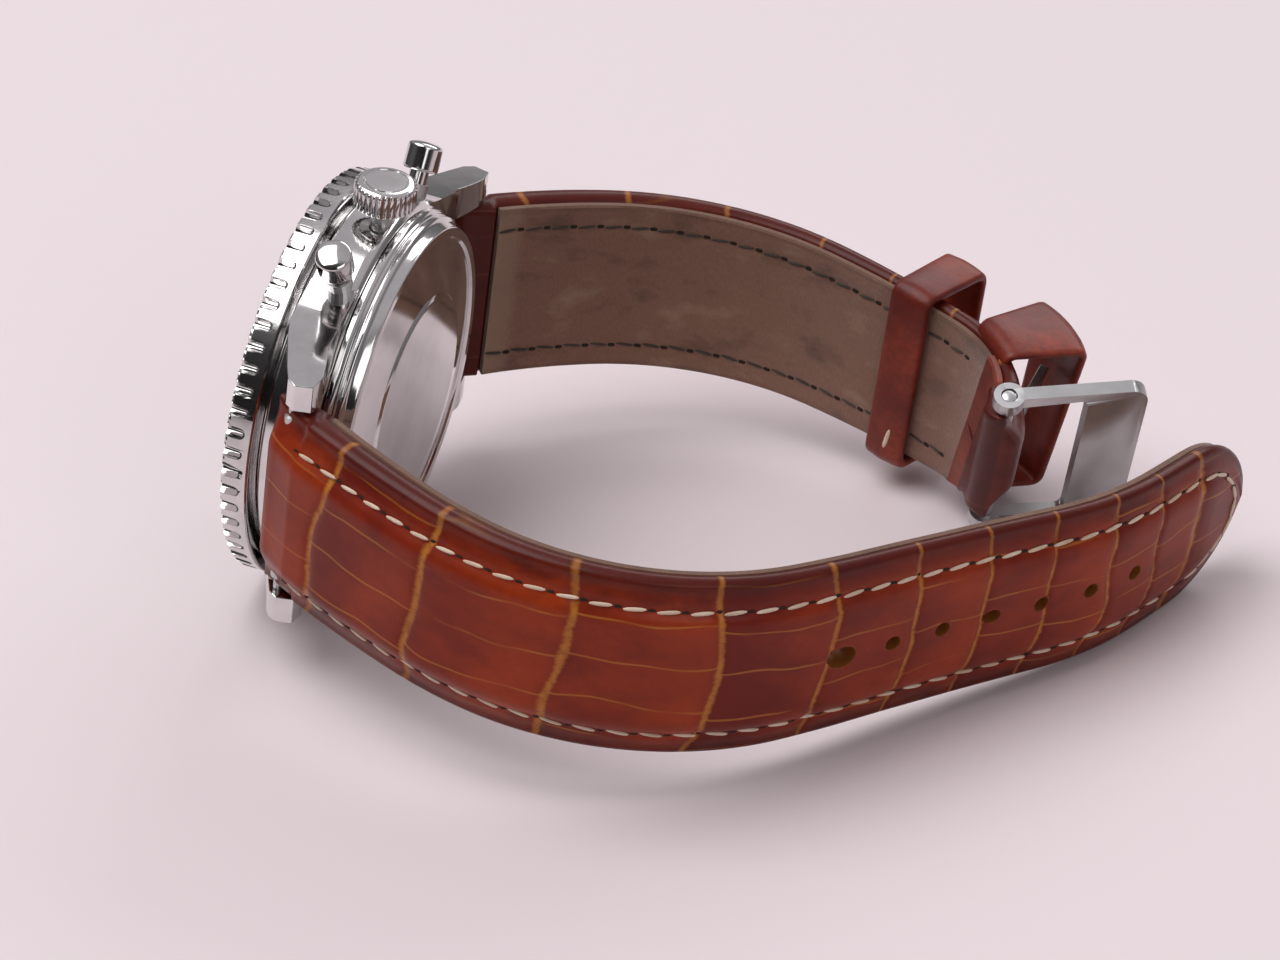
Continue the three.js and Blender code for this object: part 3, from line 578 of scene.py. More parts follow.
@dataclass(frozen=True)
class CrocodileLeather:
    """Glazed crocodile with tan lines between scales and burnt edges."""

    name: str
    light: Colour = (0.33, 0.038, 0.007)
    deep: Colour = (0.155, 0.011, 0.004)
    burnt: Colour = (0.062, 0.007, 0.005)
    line: Colour = (0.50, 0.185, 0.032)

    def build(self) -> bpy.types.Material:
        """Wires the leather. It follows the strap's own length, width and scale numbers."""
        n = Nodes(self.name)
        along = n.attribute("strap_s")
        across = n.attribute("strap_w")
        phase = n.attribute("scale_phase")
        edge = n.attribute("edge_mm")
        flat = n.join3(along, across, 0.0)
        broad = n.noise(n.stretch(flat, (0.09, 0.13, 1)), 1.0, 3, 0.55)
        blots = n.noise(n.stretch(flat, (0.15, 0.30, 1)), 1.0, 4, 0.6)
        fine = n.noise(flat, 1.5, 3, 0.6)
        # the running number is whole on the lines between scales, which fray along the width
        fray = n.noise(n.stretch(flat, (0.25, 2.6, 1)), 1.0, 4, 0.75)
        sway = n.noise(flat, 0.35, 2, 0.5)
        shifted = n.math("MULTIPLY_ADD", n.math("SUBTRACT", fray, 0.5), 0.045, phase)
        shifted = n.math("MULTIPLY_ADD", n.math("SUBTRACT", sway, 0.5), 0.06, shifted)
        gap = n.math("ABSOLUTE", n.math("SUBTRACT", n.math("FRACT", n.math("ADD", shifted, 0.5)), 0.5))
        lot = n.add("ShaderNodeTexWhiteNoise", noise_dimensions="1D")
        n.plug(n.math("FLOOR", shifted), lot.inputs["W"])
        lot_value = lot.outputs["Value"]
        tone = n.math("ADD", n.math("MULTIPLY", broad, 0.62), n.math("MULTIPLY", lot_value, 0.16))
        tone = n.math("MULTIPLY_ADD", n.math("FRACT", shifted), 0.20, tone)
        base = n.mix(n.ramp(tone, ((0.34, 0.0), (0.66, 1.0))), self.deep, self.light)
        base = n.mix(n.math("MULTIPLY", n.ramp(fine, ((0.35, 1.0), (0.6, 0.0))), 0.14), base, self.deep)
        border = n.ramp(edge, ((0.10, 1.0), (0.42, 0.30)))
        dark = n.math("MULTIPLY", n.ramp(blots, ((0.48, 0.0), (0.64, 1.0))), border)
        base = n.mix(n.math("MULTIPLY", dark, 0.75), base, self.burnt)
        # shade beside the lines, then the lines themselves
        shadow = n.ramp(gap, ((0.02, 0.8), (0.09, 0.0)))
        base = n.mix(n.math("MULTIPLY", shadow, 0.45), base, self.deep)
        line = n.ramp(gap, ((0.010, 1.0), (0.034, 0.0)))
        patchy = n.ramp(n.noise(flat, 0.9, 3, 0.6), ((0.30, 0.45), (0.55, 1.0)))
        base = n.mix(n.math("MULTIPLY", n.math("MULTIPLY", line, patchy), 0.86), base, self.line)
        # one or two fine lengthwise lines in each scale
        drift = n.math("MULTIPLY_ADD", n.noise(flat, 0.06, 2, 0.5), 4.0, across)
        drift = n.math("MULTIPLY_ADD", lot_value, 5.0, drift)
        strand = n.math("ABSOLUTE", n.math("SUBTRACT", n.math("FRACT", n.math("MULTIPLY", drift, 0.21)), 0.5))
        crease = n.ramp(strand, ((0.012, 1.0), (0.030, 0.0)))
        shown = n.ramp(n.noise(n.stretch(flat, (0.10, 0.5, 1)), 1.0, 2, 0.5), ((0.38, 0.0), (0.56, 0.55)))
        base = n.mix(n.math("MULTIPLY", crease, shown), base, self.line)
        # burnt rim
        rim = n.math("MULTIPLY_ADD", n.math("SUBTRACT", blots, 0.5), 0.30, edge)
        char = n.ramp(rim, ((0.00, 0.9), (0.12, 0.45), (0.26, 0.0)))
        base = n.mix(char, base, self.burnt)
        base = n.mix(n.math("MULTIPLY", n.math("MULTIPLY", line, char), 0.55), base, self.line)
        n.plug(base, n.shader.inputs["Base Color"])
        n.plug(n.math("MULTIPLY_ADD", fine, 0.20, 0.25), n.shader.inputs["Roughness"])
        n.set(Coat_Weight=0.06, Coat_Roughness=0.15, Specular_IOR_Level=0.18)
        n.bump(line, -0.45, 0.00022)
        n.bump(n.math("MULTIPLY", crease, shown), -0.35, 0.0001)
        n.bump(fine, 0.22, 0.0001)
        return n.material


@dataclass(frozen=True)
class EdgeLeather:
    """Smooth dyed leather of the keepers and rolled ends."""

    name: str
    colour: Colour = (0.125, 0.013, 0.008)
    warm: Colour = (0.27, 0.036, 0.013)

    def build(self) -> bpy.types.Material:
        """Wires the leather."""
        n = Nodes(self.name)
        here = n.place()
        patch = n.ramp(n.noise(here, 120, 4, 0.6), ((0.38, 0.0), (0.66, 1.0)))
        fine = n.noise(here, 1400, 4, 0.6)
        base = n.mix(patch, self.colour, self.warm)
        base = n.mix(n.ramp(fine, ((0.4, 0.35), (0.6, 0.0))), base, (0.08, 0.012, 0.008))
        n.plug(base, n.shader.inputs["Base Color"])
        n.plug(n.math("MULTIPLY_ADD", fine, 0.22, 0.30), n.shader.inputs["Roughness"])
        n.set(Coat_Weight=0.06, Coat_Roughness=0.2, Specular_IOR_Level=0.28)
        n.bump(n.noise(here, 500, 4, 0.6), 0.25, 0.0002)
        n.bump(n.cells(here, 1500), 0.15, 0.00006)
        return n.material


@dataclass(frozen=True)
class Nubuck:
    """Worn brushed lining, darker where hands and sweat have been."""

    name: str
    colour: Colour = (0.265, 0.134, 0.089)
    stain: Colour = (0.085, 0.042, 0.028)
    pale: Colour = (0.37, 0.25, 0.175)
    pitch: float = 3.1

    def build(self) -> bpy.types.Material:
        """Wires the lining, which follows the strap's own length and width."""
        n = Nodes(self.name)
        along = n.attribute("strap_s")
        across = n.attribute("strap_w")
        edge = n.attribute("edge_mm")
        flat = n.join3(along, across, 0.0)
        nap = n.noise(n.stretch(flat, (4.0, 1.6, 1)), 1.0, 5, 0.75)
        blot = n.noise(n.stretch(flat, (0.11, 0.2, 1)), 1.0, 5, 0.62)
        speck = n.noise(flat, 3.2, 4, 0.7)
        base = n.mix(n.ramp(nap, ((0.3, 0.0), (0.7, 1.0))), self.colour, tuple(c * 0.72 for c in self.colour))
        base = n.mix(n.ramp(blot, ((0.30, 0.75), (0.46, 0.0))), base, self.stain)
        base = n.mix(n.ramp(blot, ((0.56, 0.0), (0.72, 0.55))), base, self.pale)
        base = n.mix(n.ramp(speck, ((0.62, 0.0), (0.74, 0.5))), base, self.pale)
        worn = n.math("SUBTRACT", n.math("ADD", along, n.math("MULTIPLY", nap, 1.2)), 3.4)
        base = n.mix(n.ramp(n.math("MULTIPLY", worn, 0.25), ((0.0, 0.0), (0.12, 0.6), (0.7, 0.4), (1.0, 0.0))), base, self.pale)
        rim = n.math("ADD", edge, n.math("MULTIPLY", n.math("SUBTRACT", blot, 0.5), 0.16))
        base = n.mix(n.ramp(rim, ((0.02, 0.65), (0.12, 0.0))), base, self.stain)
        n.plug(base, n.shader.inputs["Base Color"])
        n.set(Roughness=0.88, Specular_IOR_Level=0.25, Sheen_Weight=0.35, Sheen_Roughness=0.5)
        n.bump(nap, 0.55, 0.00012)
        n.bump(speck, 0.35, 0.0001)
        return n.material


@dataclass(frozen=True)
class Thread:
    """Waxed twisted thread."""

    name: str
    colour: Colour
    shade: Colour

    def build(self) -> bpy.types.Material:
        """Wires the thread."""
        n = Nodes(self.name)
        here = n.place()
        twist = n.noise(n.stretch(here, (1, 1, 2.2)), 2600, 3, 0.6)
        soil = n.noise(here, 220, 3, 0.6)
        base = n.mix(n.ramp(soil, ((0.42, 0.0), (0.68, 0.7))), self.colour, self.shade)
        base = n.mix(n.math("MULTIPLY", twist, 0.35), base, self.shade)
        n.plug(base, n.shader.inputs["Base Color"])
        n.set(Roughness=0.72, Sheen_Weight=0.2)
        n.bump(twist, 0.6, 0.00006)
        return n.material


@dataclass(frozen=True)
class Matt:
    """Rubber, lacquer and print: a dyed surface with a fine grain."""

    name: str
    colour: Colour
    roughness: float = 0.5
    grain: float = 900
    coat: float = 0.0
    metallic: float = 0.0
    relief: float = 0.02

    def build(self) -> bpy.types.Material:
        """Wires the surface."""
        n = Nodes(self.name)
        here = n.place()
        grain = n.noise(here, self.grain, 3, 0.6)
        n.plug(n.mix(n.math("MULTIPLY", grain, 0.3), self.colour, tuple(c * 0.7 for c in self.colour)),
               n.shader.inputs["Base Color"])
        n.plug(n.math("MULTIPLY_ADD", grain, 0.14, self.roughness - 0.07), n.shader.inputs["Roughness"])
        n.set(Coat_Weight=self.coat, Metallic=self.metallic)
        n.bump(grain, self.relief, 0.00002)
        return n.material


@dataclass(frozen=True)
class Sapphire:
    """Clear domed crystal with a faint coating tint."""

    name: str

    def build(self) -> bpy.types.Material:
        """Wires the crystal."""
        n = Nodes(self.name)
        smear = n.noise(n.place(), 150, 4, 0.6)
        n.plug(n.math("MULTIPLY", n.ramp(smear, ((0.5, 0.0), (0.8, 1.0))), 0.05), n.shader.inputs["Roughness"])
        n.set(Base_Color=(0.97, 0.985, 1.0), Transmission_Weight=1.0, IOR=1.45)
        return n.material


class Finish(Enum):
    """Every finish on the watch."""

    MIRROR = Metal("mirror_polished_steel", (0.74, 0.725, 0.72), 0.05, 0.09, grime=0.05)
    BEZEL = Metal("polished_bezel_steel", (0.74, 0.725, 0.72), 0.07, 0.12, grime=0.08)
    SATIN = Metal("satin_buckle_steel", (0.58, 0.575, 0.58), 0.24, 0.16, 0.2, (1, 1, 8))
    NICKEL = Metal("rhodium_movement", (0.62, 0.61, 0.58), 0.24, 0.1, 0.1, (6, 1, 1))
    GILT = Metal("gilt_brass", (0.72, 0.54, 0.22), 0.22, 0.12)
    HAND = Metal("polished_hand_steel", (0.88, 0.88, 0.89), 0.12, 0.05)
    STRAP = CrocodileLeather("cognac_crocodile")
    KEEPER = EdgeLeather("oxblood_keeper_leather")
    ROLL = EdgeLeather("folded_end_leather", (0.15, 0.02, 0.014), (0.28, 0.05, 0.02))
    LINING = Nubuck("taupe_nubuck")
    CREAM_THREAD = Thread("cream_thread", (0.80, 0.66, 0.52), (0.48, 0.31, 0.20))
    DARK_THREAD = Thread("soiled_lining_thread", (0.055, 0.034, 0.025), (0.02, 0.013, 0.01))
    HOLE = Matt("needle_hole_shadow", (0.018, 0.008, 0.005), 0.9)
    RUBBER = Matt("gasket_rubber", (0.02, 0.02, 0.021), 0.7, relief=0.2)
    DIAL = Matt("black_dial_lacquer", (0.012, 0.013, 0.016), 0.32, coat=0.5)
    SUBDIAL = Matt("silvered_subdial", (0.62, 0.62, 0.6), 0.38, 1500, metallic=0.55)
    FLANGE = Matt("silvered_flange", (0.60, 0.60, 0.59), 0.42, metallic=0.4)
    RULE = Matt("black_rule_print", (0.015, 0.016, 0.019), 0.42)
    PRINT = Matt("white_print", (0.82, 0.81, 0.78), 0.55)
    LUME = Matt("luminous_paint", (0.78, 0.77, 0.62), 0.7)
    DATE = Matt("date_wheel_white", (0.85, 0.84, 0.8), 0.55)
    RED = Matt("red_hand_paint", (0.5, 0.02, 0.025), 0.3, coat=0.4)
    CRYSTAL = Sapphire("domed_sapphire")

    def material(self) -> bpy.types.Material:
        """The finish's material, built once."""
        found = bpy.data.materials.get(self.value.name)
        return found or self.value.build()


# ------------------------------------------------------------------ strap path


@dataclass
class StrapPath:
    """Plan of one strap half: even arcs that follow each other from its spring bar."""

    start: tuple[float, float]
    heading: float
    stretches: Sequence[tuple[float, float]]
    side: int
    lean: float = 0.0
    lean_from: float = 1000.0
    length: float = field(init=False)

    def __post_init__(self) -> None:
        """Adds up the length."""
        self.length = sum(length for length, _ in self.stretches)

    def plan(self, s: float) -> tuple[float, float, float]:
        """Place and heading in the plan.

        Args:
            s: distance along the half from its spring bar.

        Returns:
            Distance behind the dial, place along y and heading in radians.
        """
        b, y = self.start
        heading = math.radians(self.heading)
        left = s
        for index, (length, end) in enumerate(self.stretches):
            last = index == len(self.stretches) - 1
            go = left if last else min(left, length)
            bend = (math.radians(end) - heading) / length
            arc = min(go, length)
            after = heading + bend * max(0.0, arc)
            if abs(bend) < 1e-6 or go <= 0:
                b += go * math.cos(heading)
                y += go * math.sin(heading)
            else:
                b += (math.sin(after) - math.sin(heading)) / bend + (go - arc) * math.cos(after)
                y += (math.cos(heading) - math.cos(after)) / bend + (go - arc) * math.sin(after)
            heading = after
            left -= go
            if left <= 0 and not last:
                break
        return b, y, heading

    def section(self, s: float) -> tuple[Vector, Vector, Vector, Vector]:
        """Origin, across, outward and forward vectors of the section at s."""
        b, y, heading = self.plan(s)
        forward = Vector((0, math.sin(heading), -math.cos(heading)))
        outward = Vector((0, self.side * math.cos(heading), self.side * math.sin(heading)))
        share = min(1.0, max(0.0, (s - self.lean_from) / max(1e-6, self.length - self.lean_from)))
        skew = math.radians(self.lean) * share * share * (3 - 2 * share)
        across = Vector((math.cos(skew), 0, 0)) + forward * math.sin(skew)
        return Vector((0, y, -b)), across, outward, forward

    def rows(self, s: float, w: np.ndarray, n: np.ndarray) -> np.ndarray:
        """Space points of one section.

        Args:
            s: distance along the half.
            w: places across it.
            n: heights outward.

        Returns:
            One row of three numbers for each point.
        """
        origin, across, outward, _ = self.section(s)
        return np.array(origin) + np.outer(w, np.array(across)) + np.outer(n, np.array(outward))

    def matrix(self, s: float, w: float = 0.0, n: float = 0.0) -> Matrix:
        """Matrix whose x is forward, y across and z outward at a place on the strap."""
        origin, across, outward, forward = self.section(s)
        square = across - forward * across.dot(forward)
        square.normalize()
        axes = Matrix((forward, square, outward)).transposed().to_4x4()
        return Matrix.Translation(origin + across * w + outward * n) @ axes


BAR_Y = 22.5
BAR_Z = -2.6
LONG = StrapPath(
    (-BAR_Z, -BAR_Y), -30, ((18, -22), (8, -12), (32, 47), (8, 51), (22, 48.5), (14, 68), (17, 71)), -1
)
SHORT = StrapPath((-BAR_Z, BAR_Y), 46, ((16, 31), (27, -16), (16, -25), (13.5, -78)), 1, 20.7, 57)


def sheet_mesh(name: str, stations: Sequence[float], columns: int, closed: bool) -> bpy.types.Object:
    """A grid ready to be wrapped on a strap path, one row of points for each station.

    Args:
        name: name of the piece.
        stations: distances along the strap.
        columns: points in each row.
        closed: whether the last column meets the first.

    Returns:
        The piece, with its points still flat.
    """
    deselect()
    extra = 1 if closed else 0
    bpy.ops.mesh.primitive_grid_add(
        x_subdivisions=columns + extra - 1, y_subdivisions=len(stations) - 1, size=1
    )
    return newest(name)


def wrap(
    piece: bpy.types.Object,
    path: StrapPath,
    stations: Sequence[float],
    shape: Callable[[float], tuple[np.ndarray, np.ndarray]],
    numbers: Optional[Callable[[float, np.ndarray, np.ndarray], dict[str, np.ndarray]]] = None,
    closed: bool = True,
) -> bpy.types.Object:
    """Wraps a grid on a strap path and stores the strap's own numbers on its points.

    Args:
        piece: the grid.
        path: the strap's plan.
        stations: distance of each row.
        shape: gives places across and heights outward for a row.
        numbers: gives named numbers for each point of a row.
        closed: whether the section closes on itself.

    Returns:
        The same piece.
    """
    points: list[np.ndarray] = []
    stored: dict[str, list[np.ndarray]] = {}
    for s in stations:
        w, n = shape(s)
        row_numbers = numbers(s, w, n) if numbers else {}
        if closed:
            w, n = np.append(w, w[0]), np.append(n, n[0])
        points.append(path.rows(s, w, n))
        for key, value in row_numbers.items():
            stored.setdefault(key, []).append(np.append(value, value[0]) if closed else value)
    flat = np.concatenate(points)
    piece.data.vertices.foreach_set("co", flat.astype(np.float32).ravel())
    for key, values in stored.items():
        attribute = piece.data.attributes.new(key, "FLOAT", "POINT")
        attribute.data.foreach_set("value", np.concatenate(values).astype(np.float32))
    piece.data.update()
    return piece


def capped(piece: bpy.types.Object, distance: float = 1e-3) -> bpy.types.Object:
    """Merges a wrapped grid's seam, fills its open ends and turns its faces outward."""
    edit(piece)
    bpy.ops.mesh.remove_doubles(threshold=distance)
    bpy.ops.mesh.select_all(action="DESELECT")
    bpy.ops.mesh.select_mode(type="EDGE")
    bpy.ops.mesh.select_non_manifold()
    bpy.ops.mesh.fill()
    bpy.ops.mesh.select_all(action="SELECT")
    bpy.ops.mesh.normals_make_consistent(inside=False)
    bpy.ops.mesh.select_mode(type="VERT")
    done()
    return piece


# ------------------------------------------------------------------ strap


@dataclass
class StrapHalf:
    """One half of the strap: padded crocodile over a brushed lining, stitched all round."""

    name: str
    body: str
    path: StrapPath
    grooves: Sequence[float]
    pointed: bool
    rolled: bool
    nodes: tuple[str, str]
    width_lug: float = 21.8
    width_end: float = 18.4
    thick_lug: float = 5.5
    thick_end: float = 3.4
    lining_thick: float = 0.85
    tip_length: float = 11.0
    stitch_inset: float = 3.0
    stitch_pitch: float = 3.1
    lug_roll: float = 2.15
    bar_roll: float = 2.3
    hole_first: float = 62.9
    hole_pitch: float = 5.92
    hole_count: int = 7
    hole_radius: float = 0.8
    worn_hole_radius: float = 1.25
    fold_length: float = 7.4

    def half_width(self, s: float) -> float:
        """Half of the width at s."""
        share = min(1.0, max(0.0, s / self.path.length))
        half = (self.width_lug + (self.width_end - self.width_lug) * share) / 2
        into = s - (self.path.length - self.tip_length)
        if self.pointed and into > 0:
            half *= max(0.0, 1 - (into / self.tip_length) ** 2) ** 0.55
        if self.rolled and s > self.path.length - 3.4:
            half -= 0.55 * min(1.0, (s - self.path.length + 3.4) / 0.8)
        return max(half, 0.35)

    def thickness(self, s: float) -> float:
        """Whole thickness at s."""
        return self.thick_lug + (self.thick_end - self.thick_lug) * min(1.0, max(0.0, s) / 75)

    def levels(self, s: float) -> tuple[float, float]:
        """Lowest and highest outward places of the leather at s."""
        half = self.thickness(s) / 2
        seam = -half + self.lining_thick + 0.03
        if s < 3.4:
            rolled = math.sqrt(max(0.02, self.lug_roll**2 - min(0.0, s) ** 2))
            share = min(1.0, max(0.0, s / 3.2)) ** 1.3
            low = -rolled + (seam + rolled) * max(0.0, min(1.0, (s - 2.9) / 0.5))
            return low if s > 2.9 else -rolled + (rolled - half) * share, rolled + (half - rolled) * share
        last = self.path.length
        if self.rolled and s > last - 6:
            blend = min(1.0, max(0.0, (s - (last - 6)) / 3.5))
            rolled = math.sqrt(max(0.02, self.bar_roll**2 - max(0.0, s - last) ** 2))
            low = seam if s < last - 3.5 else -rolled
            return low, half + (rolled - half) * blend
        return seam, half

    def scale_numbers(self, s: float, w: np.ndarray) -> np.ndarray:
        """Running number of the scale at each place: whole numbers are the lines between."""
        wander = np.array([noise.noise(Vector((s * 0.05, x * 0.16, self.path.side * 7.0))) for x in w])
        skewed = s + 0.10 * w * self.path.side + 0.008 * w * w + 1.1 * wander
        marks = np.array(self.grooves)
        first = marks[0] - (marks[1] - marks[0])
        last = marks[-1] + 3 * (marks[-1] - marks[-2])
        knots = np.concatenate(([first], marks, [last]))
        return np.interp(skewed, knots, np.arange(len(knots)))

    def crown_height(self, s: float, w: np.ndarray, low: float, high: float) -> np.ndarray:
        """Height of the outer face: padded in the middle, stitched down near the edges."""
        half = self.half_width(s)
        inside = np.maximum(0.0, half - np.abs(w))
        rise = np.clip((inside - 0.7) / 4.4, 0, 1)
        rise = rise * rise * (3 - 2 * rise)
        edge = low + (high - low) * 0.60
        height = edge + (high - edge) * rise
        near_tip = 1.0
        if self.pointed:
            near_tip = min(1.0, max(0.0, (self.path.length - s) / 8))
            height = edge + (height - edge) * (0.45 + 0.55 * near_tip)
        stitch = np.exp(-(((inside - self.stitch_inset) / 0.5) ** 2))
        phase = self.scale_numbers(s, w)
        gap = np.abs((phase + 0.5) % 1 - 0.5)
        on_top = np.clip((inside - 0.6) / 1.2, 0, 1)
        groove = np.exp(-((gap / 0.035) ** 2))
        pillow = 1 - (1 - np.minimum(1, gap * 4.5)) ** 3
        if 3.4 < s < self.path.length:
            height = height - 0.24 * stitch + on_top * (0.10 * pillow - 0.16 * groove)
        return height

    def leather_shape(self, s: float) -> tuple[np.ndarray, np.ndarray]:
        """Section of the leather at s: across the top, round an edge and back below."""
        half = self.half_width(s)
        low, high = self.levels(s)
        turn = min(0.75, half * 0.6, (high - low) * 0.28)
        top = np.linspace(-(half - turn), half - turn, 61)
        heights = self.crown_height(s, top, low, high)
        angles = np.radians(np.linspace(75, -90, 9))
        edge_low = low + turn * 0.9
        edge_high = heights[-1]
        centre = (edge_low + edge_high) / 2
        tall = max(0.05, (edge_high - low) / 2)
        side_w = half - turn + turn * np.cos(angles)
        side_n = centre - turn * 0.45 + tall * np.sin(angles)
        side_n = np.clip(side_n, low, edge_high)
        bottom = np.linspace(half - turn * 1.6, -(half - turn * 1.6), 7)
        w = np.concatenate((top, side_w, bottom, -side_w[::-1]))
        left_n = np.clip(side_n + (heights[0] - edge_high) * 0.5, low, heights[0])
        n = np.concatenate((heights, side_n, np.full(7, low), left_n[::-1]))
        return w, n

    def leather_numbers(self, s: float, w: np.ndarray, n: np.ndarray) -> dict[str, np.ndarray]:
        """Numbers that the finish reads: length, width, scale and distance from the edge."""
        half = self.half_width(s)
        low, high = self.levels(s)
        inside = np.maximum(0.0, half - np.abs(w))
        deep = np.clip((n - low) / max(0.1, high - low), 0, 1)
        if self.rolled:
            deep = deep * (0.12 + 0.88 * min(1.0, max(0.0, (self.path.length - 1.5 - s) / 3)))
        return {
            "strap_s": np.full_like(w, s),
            "strap_w": w,
            "scale_phase": self.scale_numbers(s, w),
            "edge_mm": np.minimum(inside / 10, 0.02 + deep * 0.9),
        }

    def stations(self, step: float) -> list[float]:
        """Distances of the rows, closer at the rolled and pointed ends."""
        last = self.path.length
        start = [-self.lug_roll * math.sin(math.radians(a)) for a in (90, 78, 64, 48, 32, 16)]
        end = last - (0.0 if self.rolled else self.tip_length)
        count = int((end - 0.0) / step)
        middle = [end * i / count for i in range(count + 1)]
        if self.rolled:
            tail = [last + self.bar_roll * math.sin(math.radians(a)) for a in (16, 32, 48, 64, 78, 90)]
        else:
            tail = [end + self.tip_length * math.sin(math.radians(a)) for a in range(3, 91, 3)]
        return start + middle + tail

    def leather(self) -> bpy.types.Object:
        """The outer leather, with its pin holes on the pointed half."""
        rows = self.stations(0.36)
        piece = sheet_mesh(f"{self.name}_leather", rows, len(self.leather_shape(10.0)[0]), True)
        wrap(piece, self.path, rows, self.leather_shape, self.leather_numbers)
        capped(piece)
        if self.pointed:
            self.punch(piece)
        smooth(piece, 50)
        finish = Finish.STRAP.material()
        return laid(piece, finish, self.body, [self.nodes[0]])

    def punch(self, piece: bpy.types.Object) -> None:
        """Punches the pin holes through a layer."""
        for index in range(self.hole_count):
            s = self.hole_first + index * self.hole_pitch
            radius = self.hole_radius if index else self.worn_hole_radius
            cutter = rod("punch", radius, -5, 5, 24)
            stretch = Matrix.Diagonal((1.25 if index in (0, 3) else 1.06, 1, 1, 1))
            moved(cutter, self.path.matrix(s) @ stretch)
            cut(piece, cutter)

    def lining_shape(self, s: float) -> tuple[np.ndarray, np.ndarray]:
        """Section of the lining at s."""
        half = max(0.25, self.half_width(s) - 0.42)
        low = -self.thickness(s) / 2
        high = low + self.lining_thick
        below = np.linspace(half - 0.2, -(half - 0.2), 41)
        uneven = np.array([noise.noise(Vector((s * 0.12, x * 0.2, 3.0))) for x in below]) * 0.09
        inside = half - np.abs(below)
        stitch = np.exp(-(((inside - self.stitch_inset + 0.5) / 0.45) ** 2))
        w = np.concatenate((below, [-half, -half, -(half - 0.2)], [half - 0.2, half, half]))
        n = np.concatenate((
            low + np.maximum(uneven, -0.02) + 0.12 * stitch,
            [low + 0.18, high - 0.12, high], [high, high - 0.12, low + 0.18],
        ))
        return w, n

    def lining_numbers(self, s: float, w: np.ndarray, n: np.ndarray) -> dict[str, np.ndarray]:
        """Numbers that the lining's finish reads."""
        inside = np.maximum(0.0, self.half_width(s) - np.abs(w))
        return {"strap_s": np.full_like(w, s), "strap_w": w, "edge_mm": inside / 10}

    def lining_end(self) -> float:
        """Where the lining stops."""
        return self.path.length - (self.fold_length if self.rolled else 1.4)

    def lining(self) -> bpy.types.Object:
        """The lining on the wrist's side."""
        end = self.lining_end()
        count = int((end - 3.5) / 0.5)
        rows = [3.5 + (end - 3.5) * i / count for i in range(count + 1)]
        piece = sheet_mesh(f"{self.name}_lining", rows, len(self.lining_shape(10.0)[0]), True)
        wrap(piece, self.path, rows, self.lining_shape, self.lining_numbers)
        capped(piece)
        if self.pointed:
            self.punch(piece)
        smooth(piece, 40)
        return laid(piece, Finish.LINING.material(), self.body, [self.nodes[1]])

    def fold_shape(self, s: float) -> tuple[np.ndarray, np.ndarray]:
        """Section of the folded leather that comes round the bar onto the lining side."""
        half = self.half_width(s) - 0.15
        low = -self.thickness(s) / 2 - 0.05
        below = np.linspace(half - 0.25, -(half - 0.25), 33)
        uneven = 0.05 * np.array([noise.noise(Vector((s * 0.5, x * 0.3, 8.0))) for x in below])
        w = np.concatenate((below, [-half, -half, -(half - 0.2)], [half - 0.2, half, half]))
        n = np.concatenate((low + uneven, [low + 0.25, low + 0.8, low + 0.95], [low + 0.95, low + 0.8, low + 0.25]))
        return w, n

    def fold(self) -> None:
        """The folded leather beside the bar, running on from where the lining stops."""
        start, end = self.path.length - self.fold_length - 0.1, self.path.length - 2.4
        rows = [start + (end - start) * i / 12 for i in range(13)]
        piece = sheet_mesh(f"{self.name}_fold", rows, len(self.fold_shape(rows[0])[0]), True)
        wrap(piece, self.path, rows, self.fold_shape)
        capped(piece)
        smooth(piece, 40)
        laid(piece, Finish.ROLL.material(), self.body, [self.nodes[1]])

    def seam(self) -> list[tuple[float, float, float]]:
        """Places of the stitches: distance, place across and turn in the strap's plane."""
        places: list[tuple[float, float, float]] = []
        end = self.path.length - (10.5 if self.rolled else self.tip_length - 1.5)
        count = int((end - 4.4) / self.stitch_pitch)
        for i in range(count + 1):
            s = 4.6 + self.stitch_pitch * i
            for side in (1, -1):
                places.append((s, side * (self.half_width(s) - self.stitch_inset), 0.0))
        if self.pointed:
            centre = self.path.length - self.tip_length + 0.8
            radius = self.half_width(centre) - self.stitch_inset
            reach = self.tip_length - self.stitch_inset - 0.9
            for i in range(-4, 5):
                angle = math.radians(i * 19.0)
                s = centre + reach * math.cos(angle)
                w = radius * math.sin(angle) * (1.0 if abs(i) < 4 else 0.98)
                slope = math.atan2(radius * math.cos(angle), -reach * math.sin(angle))
                places.append((s, w, slope))
        return places

